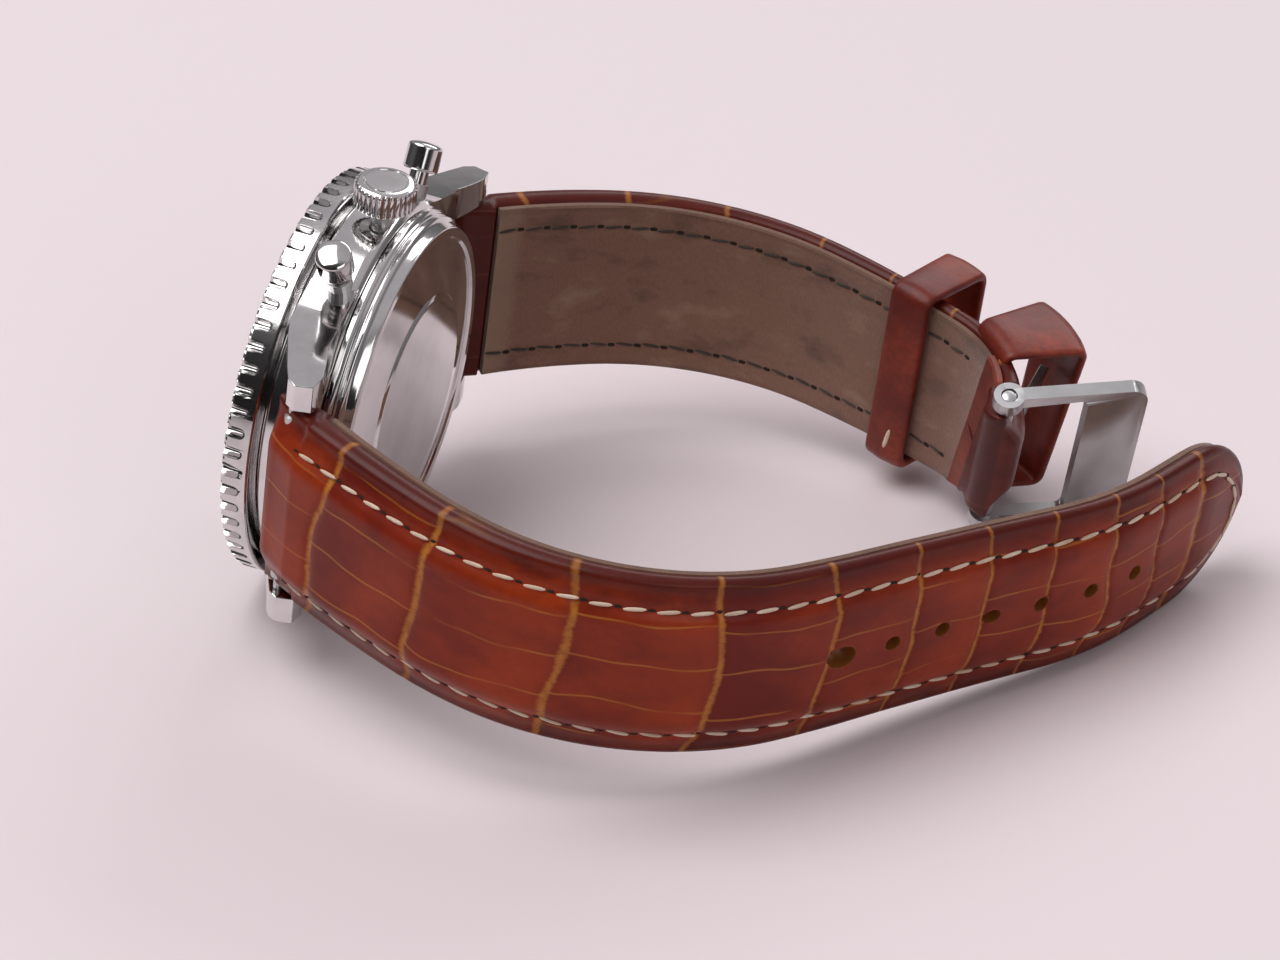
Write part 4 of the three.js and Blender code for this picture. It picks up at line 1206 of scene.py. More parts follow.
    def stitches(self) -> None:
        """Cream thread outside, darker thread inside, and dark beads of painted shadow in the needle holes between."""
        outer: list[Matrix] = []
        inner: list[Matrix] = []
        holes: list[Matrix] = []
        for index, (s, w, slope) in enumerate(self.seam()):
            low, high = self.levels(s)
            height = float(self.crown_height(s, np.array([w]), low, high)[0])
            tilt = 0.11 + 0.05 * noise.noise(Vector((index * 0.7, 1.0, self.path.side)))
            spin = Matrix.Rotation(slope + tilt * (1 if w > 0 else -1), 4, "Z")
            outer.append(self.path.matrix(s, w, height + 0.06) @ spin)
            inner_w = w - math.copysign(0.08, w)
            if s > 3.8:
                inner.append(self.path.matrix(s, inner_w, -self.thickness(s) / 2 + 0.06) @ spin)
            for end in (-0.5, 0.5):
                step = self.stitch_pitch * end
                hole_s = s + step * math.cos(slope)
                hole_w = w + step * math.sin(slope)
                if abs(slope) > 0.01 and end > 0:
                    continue
                hole_low, hole_high = self.levels(hole_s)
                top = float(self.crown_height(hole_s, np.array([hole_w]), hole_low, hole_high)[0])
                holes.append(self.path.matrix(hole_s, hole_w, top))
                if hole_s > 3.8:
                    holes.append(self.path.matrix(hole_s, hole_w, -self.thickness(hole_s) / 2 + 0.06))
        thread = repeated(f"{self.name}_stitches", stitch_bead(1.16, 0.225, 0.19), outer)
        smooth(thread, 80)
        laid(thread, Finish.CREAM_THREAD.material(), self.body)
        thread = repeated(f"{self.name}_lining_stitches", stitch_bead(1.0, 0.2, 0.12), inner)
        smooth(thread, 80)
        laid(thread, Finish.DARK_THREAD.material(), self.body)
        # dark beads that paint the shadow inside each needle hole, on both faces
        hole_shade_dots = repeated(f"{self.name}_needle_hole_shadows", stitch_bead(0.40, 0.2, 0.07), holes)
        smooth(hole_shade_dots, 80)
        laid(hole_shade_dots, Finish.HOLE.material(), self.body)

    def build(self) -> None:
        """Builds the half."""
        self.leather()
        self.lining()
        self.stitches()
        if self.rolled:
            self.fold()


def stitch_bead(length: float, wide: float, tall: float) -> bpy.types.Object:
    """A short fat bead of thread: a low ball drawn out along x.

    Args:
        length: half of its length.
        wide: half of its width.
        tall: half of its height.

    Returns:
        The bead, centred on the origin.
    """
    deselect()
    bpy.ops.mesh.primitive_uv_sphere_add(segments=8, ring_count=6, radius=1)
    bead = newest("bead")
    moved(bead, Matrix.Rotation(math.pi / 2, 4, "Y"))
    for vertex in bead.data.vertices:
        x = vertex.co.x
        vertex.co.x = math.copysign(abs(x) ** 0.75, x)
    moved(bead, Matrix.Diagonal((length, wide, tall, 1)))
    return bead


# ------------------------------------------------------------------ keepers


@dataclass
class Keeper:
    """A leather loop round the short strap half."""

    name: str
    body: str
    node: str
    strap: StrapHalf
    start: float
    end: float
    rise: float
    wall: float = 1.0
    clear: float = 0.25
    bulge: float = 0.18
    sunk: float = 0.0

    def loop_points(self, s: float, out: float) -> tuple[np.ndarray, np.ndarray]:
        """Outline of the loop at s, standing out from its inner face."""
        half = self.strap.half_width(s) + self.clear + out
        low = -self.strap.thickness(s) / 2 - self.clear - out + self.sunk
        high = self.strap.thickness(s) / 2 + self.rise + out
        turn = 0.55 + out
        w: list[float] = []
        n: list[float] = []
        corners = ((half - turn, low + turn, -90), (half - turn, high - turn, 0),
                   (-half + turn, high - turn, 90), (-half + turn, low + turn, 180))
        for index, (x, y, first) in enumerate(corners):
            for k in range(7):
                angle = math.radians(first + 15 * k)
                w.append(x + turn * math.cos(angle))
                n.append(y + turn * math.sin(angle))
            x2, y2, first2 = corners[(index + 1) % 4]
            here = (w[-1], n[-1])
            there = (x2 + turn * math.cos(math.radians(first2)), y2 + turn * math.sin(math.radians(first2)))
            for k in range(1, 8):
                w.append(here[0] + (there[0] - here[0]) * k / 8)
                n.append(here[1] + (there[1] - here[1]) * k / 8)
        return np.array(w), np.array(n)

    def build(self) -> None:
        """Builds the loop as a band with rounded edges, then its one stitch."""
        wide = self.end - self.start
        edge = 0.42
        marks: list[tuple[float, float]] = []
        for k in range(7):
            angle = math.radians(-90 + 30 * k)
            marks.append((self.end - edge + edge * math.cos(angle), self.wall / 2 + self.wall / 2 * math.sin(angle)))
        for k in range(1, 8):
            s = self.end - edge - (wide - 2 * edge) * k / 8
            marks.append((s, self.wall + self.bulge * math.sin(math.pi * k / 8)))
        for k in range(7):
            angle = math.radians(90 + 30 * k)
            marks.append((self.start + edge + edge * math.cos(angle), self.wall / 2 + self.wall / 2 * math.sin(angle)))
        for k in range(1, 6):
            marks.append((self.start + edge + (wide - 2 * edge) * k / 6, 0.0))
        marks.append(marks[0])
        columns = len(self.loop_points(self.start, 0)[0])
        piece = sheet_mesh(self.name, [s for s, _ in marks], columns, True)
        points: list[np.ndarray] = []
        for s, out in marks:
            w, n = self.loop_points(s, out)
            wave = 0.06 * np.array([noise.noise(Vector((x * 0.3, y * 0.3, s))) for x, y in zip(w, n)])
            w, n = np.append(w, w[0]), np.append(n + wave, n[0] + wave[0])
            points.append(self.strap.path.rows(s, w, n))
        piece.data.vertices.foreach_set("co", np.concatenate(points).astype(np.float32).ravel())
        tidy(piece, 1e-3)
        smooth(piece, 60)
        laid(piece, Finish.KEEPER.material(), self.body, [self.node])
        if not self.sunk:
            self.stitch()

    def stitch(self) -> None:
        """One cream stitch across the joint, low on the lining side."""
        middle = (self.start + self.end) / 2
        half = self.strap.half_width(middle)
        low = -self.strap.thickness(middle) / 2 - self.clear - self.wall - 0.08
        place = self.strap.path.matrix(middle + 0.4, -half + 2.2, low)
        bead = stitch_bead(1.35, 0.3, 0.2)
        moved(bead, place @ Matrix.Rotation(math.radians(80), 4, "Z"))
        bead.name = f"{self.name}_stitch"
        smooth(bead, 80)
        laid(bead, Finish.CREAM_THREAD.material(), self.body)


# ------------------------------------------------------------------ buckle


@dataclass
class Buckle:
    """Pin buckle on its bar: frame, tang and bar."""

    heading: float = 30
    length: float = 14.5
    plate_from: float = 8.3
    arm_in: float = 9.45
    arm_out: float = 10.9
    thick: float = 1.5
    eye: float = 1.6
    bar_radius: float = 0.8
    bar_half: float = 10.95
    tang_heading: float = 87
    tang_length: float = 13.4
    bow: float = 0.05

    def axes(self, heading: float) -> Matrix:
        """Matrix with x away from the bar, y along it and z outward."""
        origin, across, _, _ = SHORT.section(SHORT.length)
        along_bar = across.normalized()
        angle = math.radians(heading)
        wanted = Vector((0, math.sin(angle), -math.cos(angle)))
        away = (wanted - along_bar * wanted.dot(along_bar)).normalized()
        out = away.cross(along_bar)
        turn = Matrix((away, along_bar, out)).transposed().to_4x4()
        return Matrix.Translation(origin) @ turn

    def frame(self) -> None:
        """The frame: a broad plate, two arched arms and two round eyes."""
        r = 1.7
        far = self.length
        half = self.arm_out
        corner = [(far - r + r * math.cos(math.radians(a)), half - r + r * math.sin(math.radians(a)))
                  for a in range(0, 91, 15)]
        outline = [(-0.2, -half), *[(x, -y) for x, y in reversed(corner)], *corner, (-0.2, half)]
        piece = raised("buckle_frame_plate", outline, -self.thick / 2, self.thick / 2)
        ri = 0.9
        window = [(-3.0, -self.arm_in)]
        window += [(self.plate_from - ri + ri * math.cos(math.radians(a)),
                    -(self.arm_in - ri) + ri * math.sin(math.radians(a))) for a in range(-90, 1, 15)]
        window += [(self.plate_from - ri + ri * math.cos(math.radians(a)),
                    self.arm_in - ri + ri * math.sin(math.radians(a))) for a in range(0, 91, 15)]
        window += [(-3.0, self.arm_in)]
        cut(piece, raised("window", window, -3, 3))
        along_bar = axis_matrix((0, 1, 0))
        for side in (1, -1):
            low, high = sorted((side * self.arm_in, side * self.arm_out))
            ring = moved(rod("eye", self.eye, low, high, 48), along_bar)
            fused(piece, ring)
        cut(piece, moved(rod("bore", self.bar_radius + 0.05, -14, 14, 32), along_bar))
        eased(piece, 0.28, 40, 3)
        for vertex in piece.data.vertices:
            share = min(1.0, max(0.0, vertex.co.x / self.length))
            vertex.co.y *= 1 + self.bow * math.sin(math.pi * share)
        polished(piece)
        laid(piece, Finish.SATIN.material(), "buckle", ["buckle_frame"],
             HEAD @ self.axes(self.heading))

    def bar(self) -> None:
        """The bar, with a domed pin end in each eye."""
        profile = [(0, -self.bar_half), (0.5, -self.bar_half + 0.03), (0.72, -self.bar_half + 0.14),
                   (0.8, -self.bar_half + 0.3), (0.8, self.bar_half - 0.3), (0.72, self.bar_half - 0.14),
                   (0.5, self.bar_half - 0.03), (0, self.bar_half)]
        piece = moved(turned("buckle_bar_pin", profile, 40), axis_matrix((0, 1, 0)))
        polished(piece)
        laid(piece, Finish.SATIN.material(), "short_strap", ["buckle_bar"],
             HEAD @ self.axes(self.heading))

    def tang(self) -> None:
        """The tang, bent round the bar and lying back on the strap."""
        long = self.tang_length
        outline = [(0.0, -1.0), (long - 2.4, -0.85), (long - 0.8, -0.62), (long - 0.2, -0.3),
                   (long, 0.0), (long - 0.2, 0.3), (long - 0.8, 0.62), (long - 2.4, 0.85), (0.0, 1.0)]
        piece = raised("buckle_tang_pin", outline, -0.45, 0.45)
        along_bar = axis_matrix((0, 1, 0))
        fused(piece, moved(rod("wrap", 1.55, -1.2, 1.2, 40), along_bar))
        cut(piece, moved(rod("bore", self.bar_radius + 0.05, -3, 3, 32), along_bar))
        eased(piece, 0.2, 40, 3)
        polished(piece)
        laid(piece, Finish.SATIN.material(), "tang", ["buckle_tang"],
             HEAD @ self.axes(self.tang_heading))

    def build(self) -> None:
        """Builds the buckle."""
        self.frame()
        self.bar()
        self.tang()


# ------------------------------------------------------------------ head outside


@dataclass
class Case:
    """Case middle with its lugs, the stepped caseback and the lugs' spring bars."""

    radius: float = 20.0
    lug_inner: float = 11.2
    lug_hole: float = 0.55
    flank: Sequence[tuple[float, float]] = ((17.32, 10.0), (14.9, 14.3), (14.1, 24.6))

    def lug(self) -> bpy.types.Object:
        """One lug at three and twelve, where its side outline and its plan meet."""
        side = [(9.0, 1.45), (13.1, 1.5), (15.2, 1.35), (17.5, 0.55), (19.6, -0.35), (21.6, -1.2), (23.3, -2.05),
                (24.1, -3.1), (23.6, -4.85), (21.6, -5.05), (19.4, -4.45), (17.4, -3.75), (13.1, -3.5), (9.0, -3.5)]
        piece = raised("lug", side, self.lug_inner, 18.5)
        moved(piece, Matrix(((0, 0, 1, 0), (1, 0, 0, 0), (0, 1, 0, 0), (0, 0, 0, 1))))
        start, pull, end = (Vector(p) for p in self.flank)
        flank = [start.lerp(pull, t / 10).lerp(pull.lerp(end, t / 10), t / 10) for t in range(11)]
        outline = [(x, y) for x, y in flank] + [(23, 25.5), (23, 8), (16.9, 8)]
        cut(piece, raised("flank", outline, -6.5, 2.5))
        eased(piece, 0.5, 50, 1)
        return eased(piece, 0.07, 24, 2)

    def middle(self) -> None:
        """The case middle: a turned band with a neck, and four lugs that flow out of it."""
        profile = [
            (17.15, -3.7), (19.25, -3.7), (19.6, -3.45), (19.75, -3.2), (19.92, -2.95), (self.radius, -2.6),
            (self.radius, 1.2), (19.92, 1.45), (19.7, 1.6), (18.8, 1.6), (18.8, 2.15), (18.5, 2.2),
            (18.5, 2.75), (18.8, 2.8), (18.8, 4.4), (18.05, 4.4), (18.05, 3.0), (17.15, 3.0),
        ]
        piece = eased(turned("case_band", profile, 256), 0.06, 40, 2)
        polished(piece)
        laid(piece, Finish.MIRROR.material(), "head", ["case_middle"])
        lug = self.lug()
        places = [Matrix.Diagonal((x, y, 1, 1)) for x in (1, -1) for y in (1, -1)]
        lugs = [copied(lug, f"lug_{i}", place) for i, place in enumerate(places)]
        bpy.data.objects.remove(lug)
        piece = joined("case_lugs", lugs)
        for side in (1, -1):
            lay = axis_matrix((1, 0, 0), (0, side * BAR_Y, BAR_Z))
            cut(piece, moved(rod("bar_hole", self.lug_hole, -12.6, 12.6), lay))
        polished(piece)
        laid(piece, Finish.MIRROR.material(), "head", ["case_middle"])

    def back(self) -> None:
        """The caseback: rings, a sharp edge, a sunk cone and a raised flat middle."""
        profile = [
            (0, -7.6), (10.85, -7.6), (11.05, -7.57), (11.25, -7.42), (11.4, -7.28), (13.6, -6.95),
            (16.6, -6.5), (16.85, -6.48), (17.0, -6.6), (17.15, -6.74), (18.0, -6.75), (18.12, -6.66),
            (18.2, -6.4), (18.45, -5.95), (18.75, -5.72), (18.92, -5.5), (18.95, -5.25), (18.86, -5.18),
            (18.86, -5.02), (19.0, -4.92), (19.05, -4.7), (19.22, -4.55), (19.34, -4.35), (19.35, -3.9),
            (19.1, -3.75), (17.05, -3.75), (17.05, -2.75), (16.1, -2.75), (16.1, -5.3), (0, -5.3),
        ]
        piece = turned("caseback_rings", profile, 256)
        eased(piece, 0.05, 28, 2)
        polished(piece)
        laid(piece, Finish.MIRROR.material(), "head", ["caseback"])

    def bars(self) -> None:
        """Spring bars between the lugs."""
        for side, node in ((1, "lug_bar_12"), (-1, "lug_bar_6")):
            profile = [(0, -12.3), (0.4, -12.3), (0.45, -12.2), (0.45, -9.8), (0.62, -9.8), (0.8, -9.6),
                       (0.8, 9.6), (0.62, 9.8), (0.45, 9.8), (0.45, 12.2), (0.4, 12.3), (0, 12.3)]
            piece = turned(f"{node}_pin", profile, 40)
            moved(piece, axis_matrix((1, 0, 0), (0, side * BAR_Y, BAR_Z)))
            polished(piece)
            laid(piece, Finish.SATIN.material(), "head", [node])

    def build(self) -> None:
        """Builds the case."""
        self.middle()
        self.back()
        self.bars()


@dataclass
class Bezel:
    """Turning bezel with notches cut from its front edge."""

    radius: float = 21.4
    notches: int = 60
    notch_wide: float = 1.24
    notch_floor: float = 3.45
    notch_depth: float = 0.82

    def notch(self) -> bpy.types.Object:
        """Cutter for one notch: a round trough open at the front, with a ball end."""
        half = self.notch_wide / 2
        profile = [(half * math.sin(math.radians(a)), self.notch_floor - half * math.cos(math.radians(a)))
                   for a in range(0, 91, 18)]
        profile[0] = (0, self.notch_floor - half)
        piece = turned("notch", profile + [(half * 1.15, 5.8), (0, 5.8)], 18)
        deepen = Matrix.Diagonal((self.notch_depth / half, 1, 1, 1))
        return moved(piece, Matrix.Translation((self.radius, 0, 0)) @ deepen)

    def build(self) -> None:
        """Builds the bezel."""
        r = self.radius
        profile = [
            (18.62, 2.3), (18.9, 2.12), (19.1, 2.05), (r - 0.35, 2.05), (r - 0.12, 2.1), (r, 2.25),
            (r, 4.55), (r - 0.1, 4.8), (r - 0.32, 4.95), (20.6, 5.0), (19.3, 4.86), (19.02, 4.8),
            (18.9, 4.62), (18.9, 2.75), (18.62, 2.6),
        ]
        piece = turned("bezel_ring", profile, 240)
        places = [Matrix.Rotation(FULL_TURN * i / self.notches, 4, "Z") for i in range(self.notches)]
        cutter = repeated("notches", self.notch(), places)
        cut(piece, cutter)
        eased(piece, 0.07, 35, 2)
        polished(piece)
        laid(piece, Finish.BEZEL.material(), "turning_bezel", ["bezel"])


@dataclass
class Controls:
    """Crown, the two push buttons and their return springs."""

    crown_radius: float = 3.2
    crown_in: float = 21.6
    crown_out: float = 24.4
    flutes: int = 32
    flute_depth: float = 0.26
    crown_z: float = -1.9
    pusher_z: float = -1.5
    pusher_angle: float = 29.0
    spring_foot: float = 17.92
    spring_head: float = 21.28
    spring_travel: float = 1.32

    def crown(self) -> None:
        """The fluted crown: a turned knob with a plain ring on its face, and ridges round it."""
        r, low, high = self.crown_radius, self.crown_in, self.crown_out
        core = r - self.flute_depth
        profile = [
            (0, low + 1.3), (1.4, low + 1.3), (1.4, low - 0.2), (2.3, low - 0.2), (2.4, low - 0.1),
            (2.4, low + 0.12), (core, low + 0.14), (core, high - 0.2), (core - 0.12, high - 0.08),
            (core - 0.32, high - 0.01), (2.32, high), (2.28, high - 0.05), (2.12, high - 0.05),
            (2.08, high), (1.0, high), (0, high),
        ]
        lay = axis_matrix((1, 0, 0), (0, 0, self.crown_z))
        piece = moved(turned("crown_knob", profile, 96), lay)
        polished(piece)
        laid(piece, Finish.MIRROR.material(), "winding_stem", ["crown"])
        outline = [
            (core - 0.3, low + 0.2), (r - 0.08, low + 0.2), (r, low + 0.32), (r, high - 0.45),
            (r - 0.1, high - 0.28), (core - 0.1, high - 0.1), (core - 0.3, high - 0.14),
        ]
        ridge = raised("ridge", outline, -0.16, 0.16)
        moved(ridge, Matrix(((1, 0, 0, 0), (0, 0, -1, 0), (0, 1, 0, 0), (0, 0, 0, 1))))
        eased(ridge, 0.09, 60, 2)
        places = [Matrix.Rotation(FULL_TURN * i / self.flutes, 4, "Z") for i in range(self.flutes)]
        ridges = moved(repeated("crown_ridges", ridge, places), lay)
        smooth(ridges, 40)
        laid(ridges, Finish.MIRROR.material(), "winding_stem", ["crown"])

    def pushers(self) -> None:
        """Pump buttons: a domed cap on a slim neck."""
        for job, side in (("start", 1), ("reset", -1)):
            profile = [
                (0, 16.7), (0.7, 16.7), (0.7, 21.2), (1.0, 21.2), (1.0, 22.7), (1.55, 22.7), (1.74, 22.74),
                (1.83, 22.86), (1.85, 23.0), (1.85, 25.1), (1.82, 25.28), (1.7, 25.42), (1.5, 25.52),
                (1.2, 25.62), (0.8, 25.69), (0.4, 25.73), (0, 25.74),
            ]
            piece = turned(f"pusher_{job}_button", profile, 72)
            eased(piece, 0.05, 50, 2)
            angle = math.radians(self.pusher_angle * side)
            moved(piece, axis_matrix((math.cos(angle), math.sin(angle), 0), (0, 0, self.pusher_z)))
            polished(piece)
            laid(piece, Finish.MIRROR.material(), f"{job}_pusher", [f"pusher_{job}"])

    def spring(self, job: str) -> None:
        """Return spring round a stem, copied from its CAD node.

        Args:
            job: which button.
        """
        node = frame["nodes"][f"pusher_spring_{job}"]
        piece = bpy.data.objects.new(f"pusher_{job}_coil", node.data.copy())
        piece.data.name = piece.name
        bpy.context.scene.collection.objects.link(piece)
        edit(piece)
        bpy.ops.mesh.remove_doubles(threshold=1e-6)
        done()
        smooth(piece, 60)
        laid(piece, Finish.SATIN.material(), "head", [node.name], Matrix.Identity(4))
        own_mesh(piece)

    def build(self) -> None:
        """Builds the controls."""
        self.crown()
        self.pushers()
        self.spring("start")
        self.spring("reset")


# ------------------------------------------------------------------ dial side


@dataclass
class DialSide:
    """Crystal, printed scales, applied hour marks and silvered counters."""

    dial_top: float = 0.7
    subdial_offset: float = 7.2

    def crystal(self) -> None:
        """The domed crystal."""
        profile = [
            (0, 3.6), (4, 3.57), (9, 3.45), (13.5, 3.27), (17.3, 3.1), (17.4, 3.2), (17.4, 4.45), (17.25, 4.65),
            (16.9, 4.76), (15, 4.88), (12, 5.04), (9, 5.14), (6, 5.22), (3, 5.265), (0, 5.28),
        ]
        piece = turned("crystal_dome", profile, 160)
        smooth(piece, 30)
        laid(piece, Finish.CRYSTAL.material(), "head", ["crystal"])

    def bars(self, name: str, count: int, skip: Callable[[int], bool], inner: float, outer: float,
             wide: float, low: float, high: float, finish: Finish, body: str, slot: str) -> None:
        """A ring of small radial marks, one shape copied round.

        Args:
            name: name of the piece.
            count: marks in a full turn.
            skip: says which marks are left out.
            inner: inner radius.
            outer: outer radius.
            wide: width of a mark.
            low: height of its foot.
            high: height of its top.
            finish: its finish.
            body: body it rides on.
            slot: material slot, not used.
        """
        deselect()
        bpy.ops.mesh.primitive_cube_add(size=1)
        mark = newest("mark")
        size = Matrix.Diagonal((outer - inner, wide, high - low, 1))
        moved(mark, Matrix.Translation(((inner + outer) / 2, 0, (low + high) / 2)) @ size)
        if wide > 0.4:
            eased(mark, 0.06, 30, 1)
        places = [Matrix.Rotation(-FULL_TURN * i / count, 4, "Z") for i in range(count) if not skip(i)]
        laid(repeated(name, mark, places), finish.material(), body)

    def numerals(self, name: str, figures: Sequence[tuple[str, float]], radius: float, size: float,
                 height: float, slope: float, body: str, finish: Finish) -> None:
        """Plain figures standing round a ring.

        Args:
            name: name of the piece.
            figures: each figure and its clock angle in degrees.
            radius: middle radius of the figures.
            size: height of the figures.
            height: height above the dial's plane.
            slope: lean of the figures towards the middle, in degrees.
            body: body they ride on.
            finish: their finish.
        """
        pieces: list[bpy.types.Object] = []
        for text, clock in figures:
            deselect()
            bpy.ops.object.text_add()
            figure = bpy.context.object
            figure.data.body = text
            figure.data.size = size
            figure.data.extrude = 0.01
            figure.data.resolution_u = 2
            figure.data.align_x = "CENTER"
            figure.data.align_y = "CENTER"
            bpy.ops.object.convert(target="MESH")
            figure = bpy.context.object
            angle = math.radians(-clock)
            turn = Matrix.Rotation(angle, 4, "Z")
            lean = Matrix.Rotation(math.radians(slope), 4, "X")
            moved(figure, turn @ Matrix.Translation((0, radius, height)) @ lean)
            pieces.append(figure)
        laid(joined(name, pieces), finish.material(), body)

    def subdials(self) -> None:
        """Silvered counters with fine rings and ticks."""
        for place, angle in (("nine", 180), ("twelve", 90), ("six", -90)):
            x = self.subdial_offset * math.cos(math.radians(angle))
            y = self.subdial_offset * math.sin(math.radians(angle))
            profile = [(0.47, 0.585), (3.8, 0.585), (3.86, 0.62), (3.7, 0.63), (0.5, 0.63), (0.47, 0.61)]
            disc = moved(turned(f"subdial_{place}", profile, 96), Matrix.Translation((x, y, 0)))
            smooth(disc, 30)
            laid(disc, Finish.SUBDIAL.material(), "head")
            deselect()
            bpy.ops.mesh.primitive_cube_add(size=1)
            tick = newest("tick")
            moved(tick, Matrix.Translation((3.2, 0, 0.64)) @ Matrix.Diagonal((0.6, 0.09, 0.02, 1)))
            count = 30 if place == "twelve" else 12 if place == "six" else 60
            turns = [Matrix.Translation((x, y, 0)) @ Matrix.Rotation(FULL_TURN * i / count, 4, "Z")
                     for i in range(count)]
            laid(repeated(f"subdial_{place}_ticks", tick, turns), Finish.RULE.material(), "head")

    def build(self) -> None:
        """Builds the dial side."""
        self.crystal()
        near_date = (0, 3, 6, 9)
        self.bars("hour_marks", 12, lambda i: i in near_date, 12.2, 14.6, 0.75, 0.7, 0.98, Finish.HAND,
                  "head", "hand_steel")
        self.bars("hour_lume", 12, lambda i: i in near_date, 12.4, 14.4, 0.34, 0.97, 1.0, Finish.LUME,
                  "head", "flange_print")
        self.bars("minute_marks", 60, lambda i: i % 5 == 0, 15.1, 15.9, 0.1, 0.69, 0.72, Finish.PRINT,
                  "head", "flange_print")
        self.bars("flange_marks", 120, lambda i: False, 14.2, 14.75, 0.07, 1.39, 1.415, Finish.RULE,
                  "head", "rule_print")
        self.subdials()
        figures = [(str(value), clock) for value, clock in
                   (("60", 0), ("10", 60), ("20", 120), ("30", 180), ("40", 240), ("50", 300))]
        self.numerals("rule_figures", figures, 16.05, 1.0, 2.42, 41, "rule_ring", Finish.PRINT)
        self.bars("rule_marks", 120, lambda i: i % 20 == 0, 15.2, 15.5, 0.08, 1.6, 1.86, Finish.PRINT,
                  "rule_ring", "rule_print")


def dress_nodes() -> None:
    """Gives every CAD node that stays its own finish."""
    finishes = {
        "gasket_rubber": Finish.RUBBER, "dial_lacquer": Finish.DIAL, "flange_print": Finish.FLANGE,
        "rule_print": Finish.RULE, "date_print": Finish.DATE, "hand_steel": Finish.HAND,
        "red_paint": Finish.RED, "movement_brass": Finish.GILT, "movement_nickel": Finish.NICKEL,
        "satin_steel": Finish.SATIN, "polished_steel": Finish.MIRROR, "sapphire": Finish.CRYSTAL,
    }
    for entry in frame["record"]["subparts"]:
        node = frame["nodes"][entry["node"]]
        finish = finishes.get(entry["material_slot"])
        if node.hide_render or finish is None:
            continue
        node.data.materials.clear()
        node.data.materials.append(finish.material())
        log.info("%s keeps its CAD shape in %s", node.name, finish.value.name)


# ------------------------------------------------------------------ studio


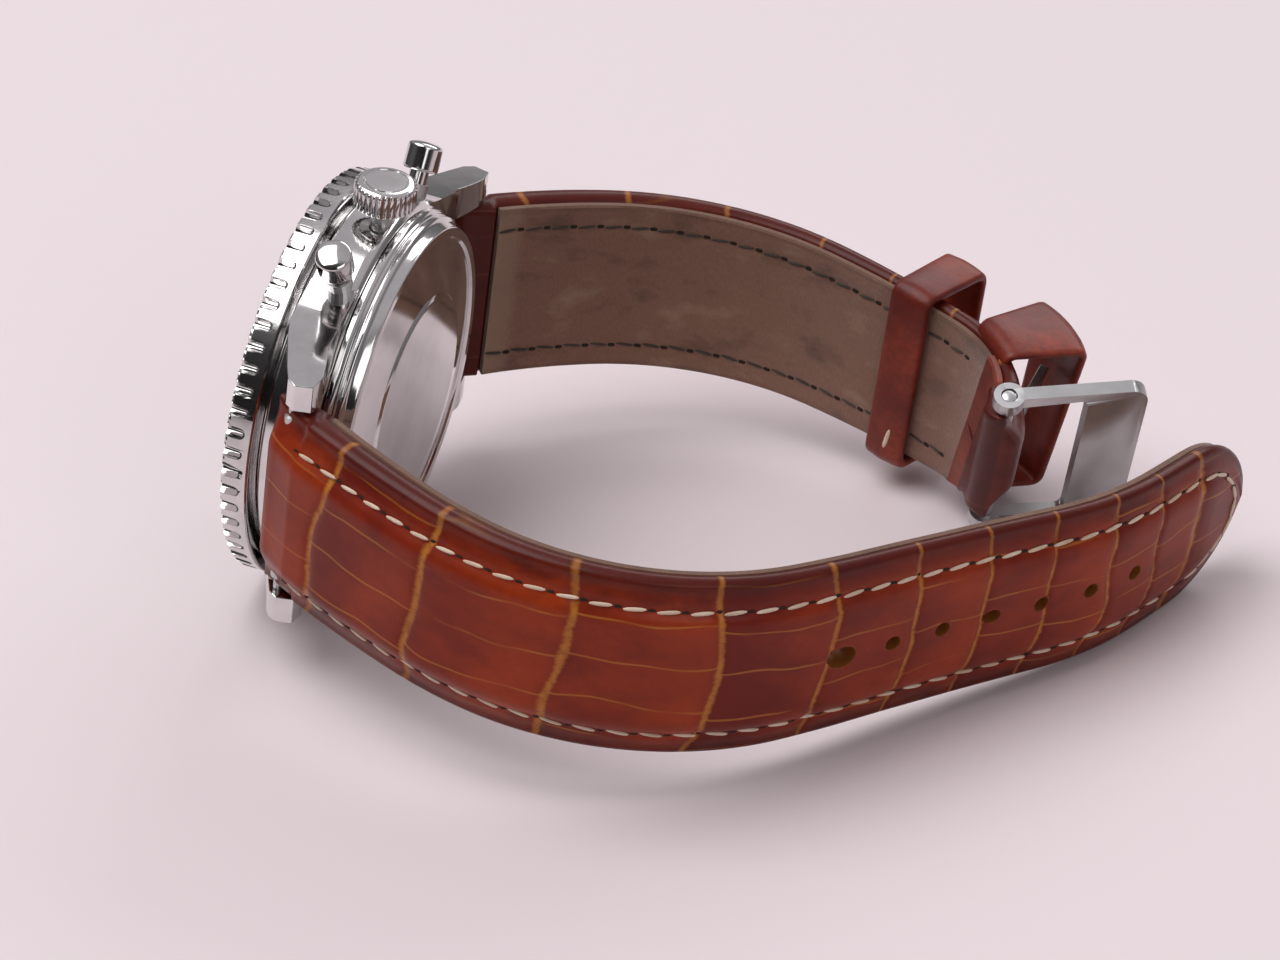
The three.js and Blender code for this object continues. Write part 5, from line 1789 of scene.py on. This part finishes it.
@dataclass
class Studio:
    """Pale floor, soft lights and the camera."""

    position: tuple[float, float, float] = (0.12456, -0.37167, 0.25635)
    yaw: float = -19.86
    down: float = 31.57
    roll: float = -0.79
    lens: float = 127.74
    sensor: float = 36.0

    def camera(self) -> None:
        """The camera, looking down at the strap loop from beside the six o'clock half."""
        yaw, down, roll = (math.radians(a) for a in (self.yaw, self.down, self.roll))
        ahead = Vector((math.sin(yaw) * math.cos(down), math.cos(yaw) * math.cos(down), -math.sin(down)))
        right = Vector((math.cos(yaw), -math.sin(yaw), 0))
        up = right.cross(ahead)
        right_rolled = right * math.cos(roll) + up * math.sin(roll)
        up_rolled = up * math.cos(roll) - right * math.sin(roll)
        axes = Matrix((right_rolled, up_rolled, -ahead)).transposed().to_4x4()
        data = bpy.data.cameras.new("camera")
        data.lens = self.lens
        data.sensor_width = self.sensor
        data.clip_start = 0.01
        camera = bpy.data.objects.new("camera", data)
        camera.matrix_world = Matrix.Translation(self.position) @ axes
        bpy.context.scene.collection.objects.link(camera)
        bpy.context.scene.camera = camera

    def floor(self) -> None:
        """A wide pale sheet with a hint of paper grain."""
        deselect()
        bpy.ops.mesh.primitive_plane_add(size=6)
        sheet = newest("studio_floor")
        n = Nodes("pale_paper")
        n.set(Base_Color=(0.75, 0.66, 0.68), Roughness=0.65, Specular_IOR_Level=0.25)
        n.bump(n.noise(n.place(), 900, 3, 0.5), 0.02, 0.0001)
        sheet.data.materials.append(n.material)

    def light(self, name: str, place: Sequence[float], size: tuple[float, float], power: float,
              colour: Colour = (1, 1, 1)) -> None:
        """One soft rectangular light aimed at the watch.

        Args:
            name: name of the light.
            place: where it stands, in metres.
            size: its width and height.
            power: its power in watts.
            colour: its colour.
        """
        data = bpy.data.lights.new(name, "AREA")
        data.shape = "RECTANGLE"
        data.size, data.size_y = size
        data.energy = power
        data.color = colour
        lamp = bpy.data.objects.new(name, data)
        aim = Vector((0, 0, 0.02)) - Vector(place)
        lamp.matrix_world = Matrix.Translation(place) @ aim.to_track_quat("-Z", "Y").to_matrix().to_4x4()
        bpy.context.scene.collection.objects.link(lamp)

    def surround(self) -> None:
        """Pale room light, brighter overhead, with a dark side behind the camera."""
        world = bpy.data.worlds.new("pale_room")
        world.use_nodes = True
        tree = world.node_tree
        background = next(n for n in tree.nodes if n.type == "BACKGROUND")
        where = tree.nodes.new("ShaderNodeTexCoord").outputs["Generated"]

        def shade(toward: Sequence[float], stops: Sequence[tuple[float, float]]) -> bpy.types.NodeSocket:
            """Grey level by how far a direction leans towards another."""
            dot = tree.nodes.new("ShaderNodeVectorMath")
            dot.operation = "DOT_PRODUCT"
            tree.links.new(where, dot.inputs[0])
            dot.inputs[1].default_value = Vector(toward).normalized()
            ramp = tree.nodes.new("ShaderNodeValToRGB")
            tree.links.new(dot.outputs["Value"], ramp.inputs[0])
            marks = ramp.color_ramp.elements
            while len(marks) < len(stops):
                marks.new(0.5)
            for mark, (place, level) in zip(marks, stops):
                mark.position = place
                mark.color = (level, level * 0.985, level, 1)
            return ramp.outputs[0]

        overhead = shade((0, 0, 1), ((0.0, 0.30), (0.25, 0.48), (0.55, 0.95), (1.0, 1.0)))
        behind = shade((0.25, -1, 0.25), ((0.45, 1.0), (0.75, 0.10), (1.0, 0.06)))
        left = shade((-1, -0.35, 0.1), ((0.6, 1.0), (0.85, 0.35)))
        level = overhead
        for other in (behind, left):
            product = tree.nodes.new("ShaderNodeMix")
            product.data_type = "RGBA"
            product.blend_type = "MULTIPLY"
            product.inputs[0].default_value = 1.0
            tree.links.new(level, product.inputs[6])
            tree.links.new(other, product.inputs[7])
            level = product.outputs[2]
        tree.links.new(level, background.inputs["Color"])
        background.inputs["Strength"].default_value = 0.47
        bpy.context.scene.world = world

    def build(self) -> None:
        """Builds the studio."""
        self.camera()
        self.floor()
        self.light("key_softbox", (-0.35, -0.15, 0.9), (0.9, 0.7), 7.4)
        self.light("fill_softbox", (0.9, -0.9, 0.8), (0.8, 0.8), 3)
        self.light("back_softbox", (0.2, 0.9, 0.6), (0.9, 0.35), 3)
        self.surround()
        bpy.context.scene.view_settings.view_transform = "Standard"


# ------------------------------------------------------------------ assembly


def main() -> None:
    """Builds every sub-assembly in order."""
    logging.basicConfig(level=logging.INFO, format="%(message)s")
    Studio().build()
    long_half = StrapHalf(
        "strap_long_half", "long_strap", LONG, (7.4, 21, 36, 50, 61.5, 71, 79.5, 87.5, 95, 101.5, 108),
        True, False, ("strap_long", "strap_long_lining"),
    )
    short_half = StrapHalf(
        "strap_short_half", "short_strap", SHORT, (8, 20, 31.5, 42, 51.5, 60, 67), False, True,
        ("strap_short", "strap_short_lining"),
    )
    long_half.build()
    short_half.build()
    Keeper("sliding_keeper_loop", "loose_keeper", "sliding_keeper", short_half, 51.6, 56.6, 4.2).build()
    Keeper("fixed_keeper_loop", "short_strap", "fixed_keeper", short_half, 61.2, 66.4, 6.2,
           wall=0.9, sunk=2.3).build()
    Buckle().build()
    Case().build()
    Bezel().build()
    Controls().build()
    DialSide().build()
    dress_nodes()


if __name__ == "__main__":
    main()
